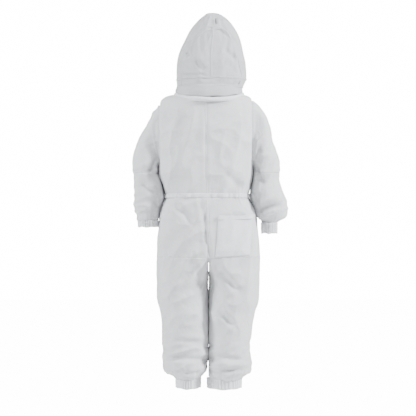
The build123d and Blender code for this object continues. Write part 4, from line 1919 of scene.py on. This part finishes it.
CUTS = {
    "back_panel": Cut(0.30, 0.47, 0.119, "hung", "collar_band"),
    "front_panel": Cut(0.30, 0.47, 0.116, "hung", "collar_band"),
    "hip_back": Cut(0.31, 0.27, 0.080, "gathered", "waist_casing"),
    "hip_front": Cut(0.31, 0.27, 0.080, "gathered", "waist_casing"),
    "leg": Cut(0.78, 0.57, 0.392, "hung", "waist_casing"),
    "upper_sleeve": Cut(0.46, 0.34, 0.093, "hung", "collar_band"),
    "lower_sleeve": Cut(0.50, 0.25, 0.103, "gathered", "upper_sleeve_left"),
    "hood_back": Cut(0.16, 0.24, 0.027, "stretched", "rear_hoop"),
    "hood_crown": Cut(0.40, 0.36, 0.095, "stretched", "rear_hoop"),
    "hood_neck_panel": Cut(0.52, 0.06, 0.028, "hung", "hood_crown"),
    "chin_bib": Cut(0.42, 0.07, 0.026, "hung", "face_veil"),
    "face_veil": Cut(0.46, 0.38, 0.143, "stretched", "front_hoop"),
    "hood_zip_cover": Cut(0.62, 0.05, 0.023, "hung", "hood_neck_panel"),
    "back_pocket": Cut(0.17, 0.20, 0.030, "stretched", "hip_back_right"),
    "chest_pocket": Cut(0.12, 0.15, 0.0165, "stretched", "front_panel_left"),
    "placket": Cut(0.026, 0.63, 0.016, "hung", "front_panel_left"),
    "cuff": Cut(0.38, 0.05, 0.015, "gathered", "lower_sleeve_left"),
    "ankle": Cut(0.54, 0.06, 0.026, "gathered", "leg_left"),
    "waist_casing": Cut(1.16, 0.022, 0.022, "gathered", "waist_elastic"),
}


def declare_sheets() -> None:
    """Match finished pieces to their cuts and pass each to its cut's declare, which does nothing.
    """
    shown = {o.name.split(".")[0]: o for o in bpy.data.objects
             if o.type == "MESH" and "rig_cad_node" not in o}
    for name, obj in shown.items():
        stem = name.replace("_casing", "") if name[:4] in ("cuff", "ankl") else name
        for side in Side:
            stem = stem.removesuffix(f"_{side.word}")
        if stem in CUTS:
            extra = ["back_pocket_hem"] if name == "back_pocket" else []
            CUTS[stem].declare(obj, [shown[e] for e in extra])


def main() -> None:
    """Build the suit part by part and report each."""
    logging.basicConfig(level=logging.INFO, format="%(name)s: %(message)s")
    wardrobe = Wardrobe()
    tree = RepeatTree(Shape.STITCH, wardrobe.thread).build()
    stitcher = Repeater(tree, 4.2 * MM, 3.0 * MM, 0.8 * MM, 0.8 * MM)
    suit = Suit(wardrobe, stitcher)
    net = suit.build()
    LOG.info("suit net: %d faces", len(net.data.polygons))
    ElasticBands(wardrobe, suit).build()
    Pockets(wardrobe, suit).build()
    bpy.data.objects.remove(net)
    Hood(wardrobe, stitcher).build()
    Fastenings(wardrobe, stitcher).build()
    declare_sheets()
    Studio().build()


if __name__ == "__main__":
    main()
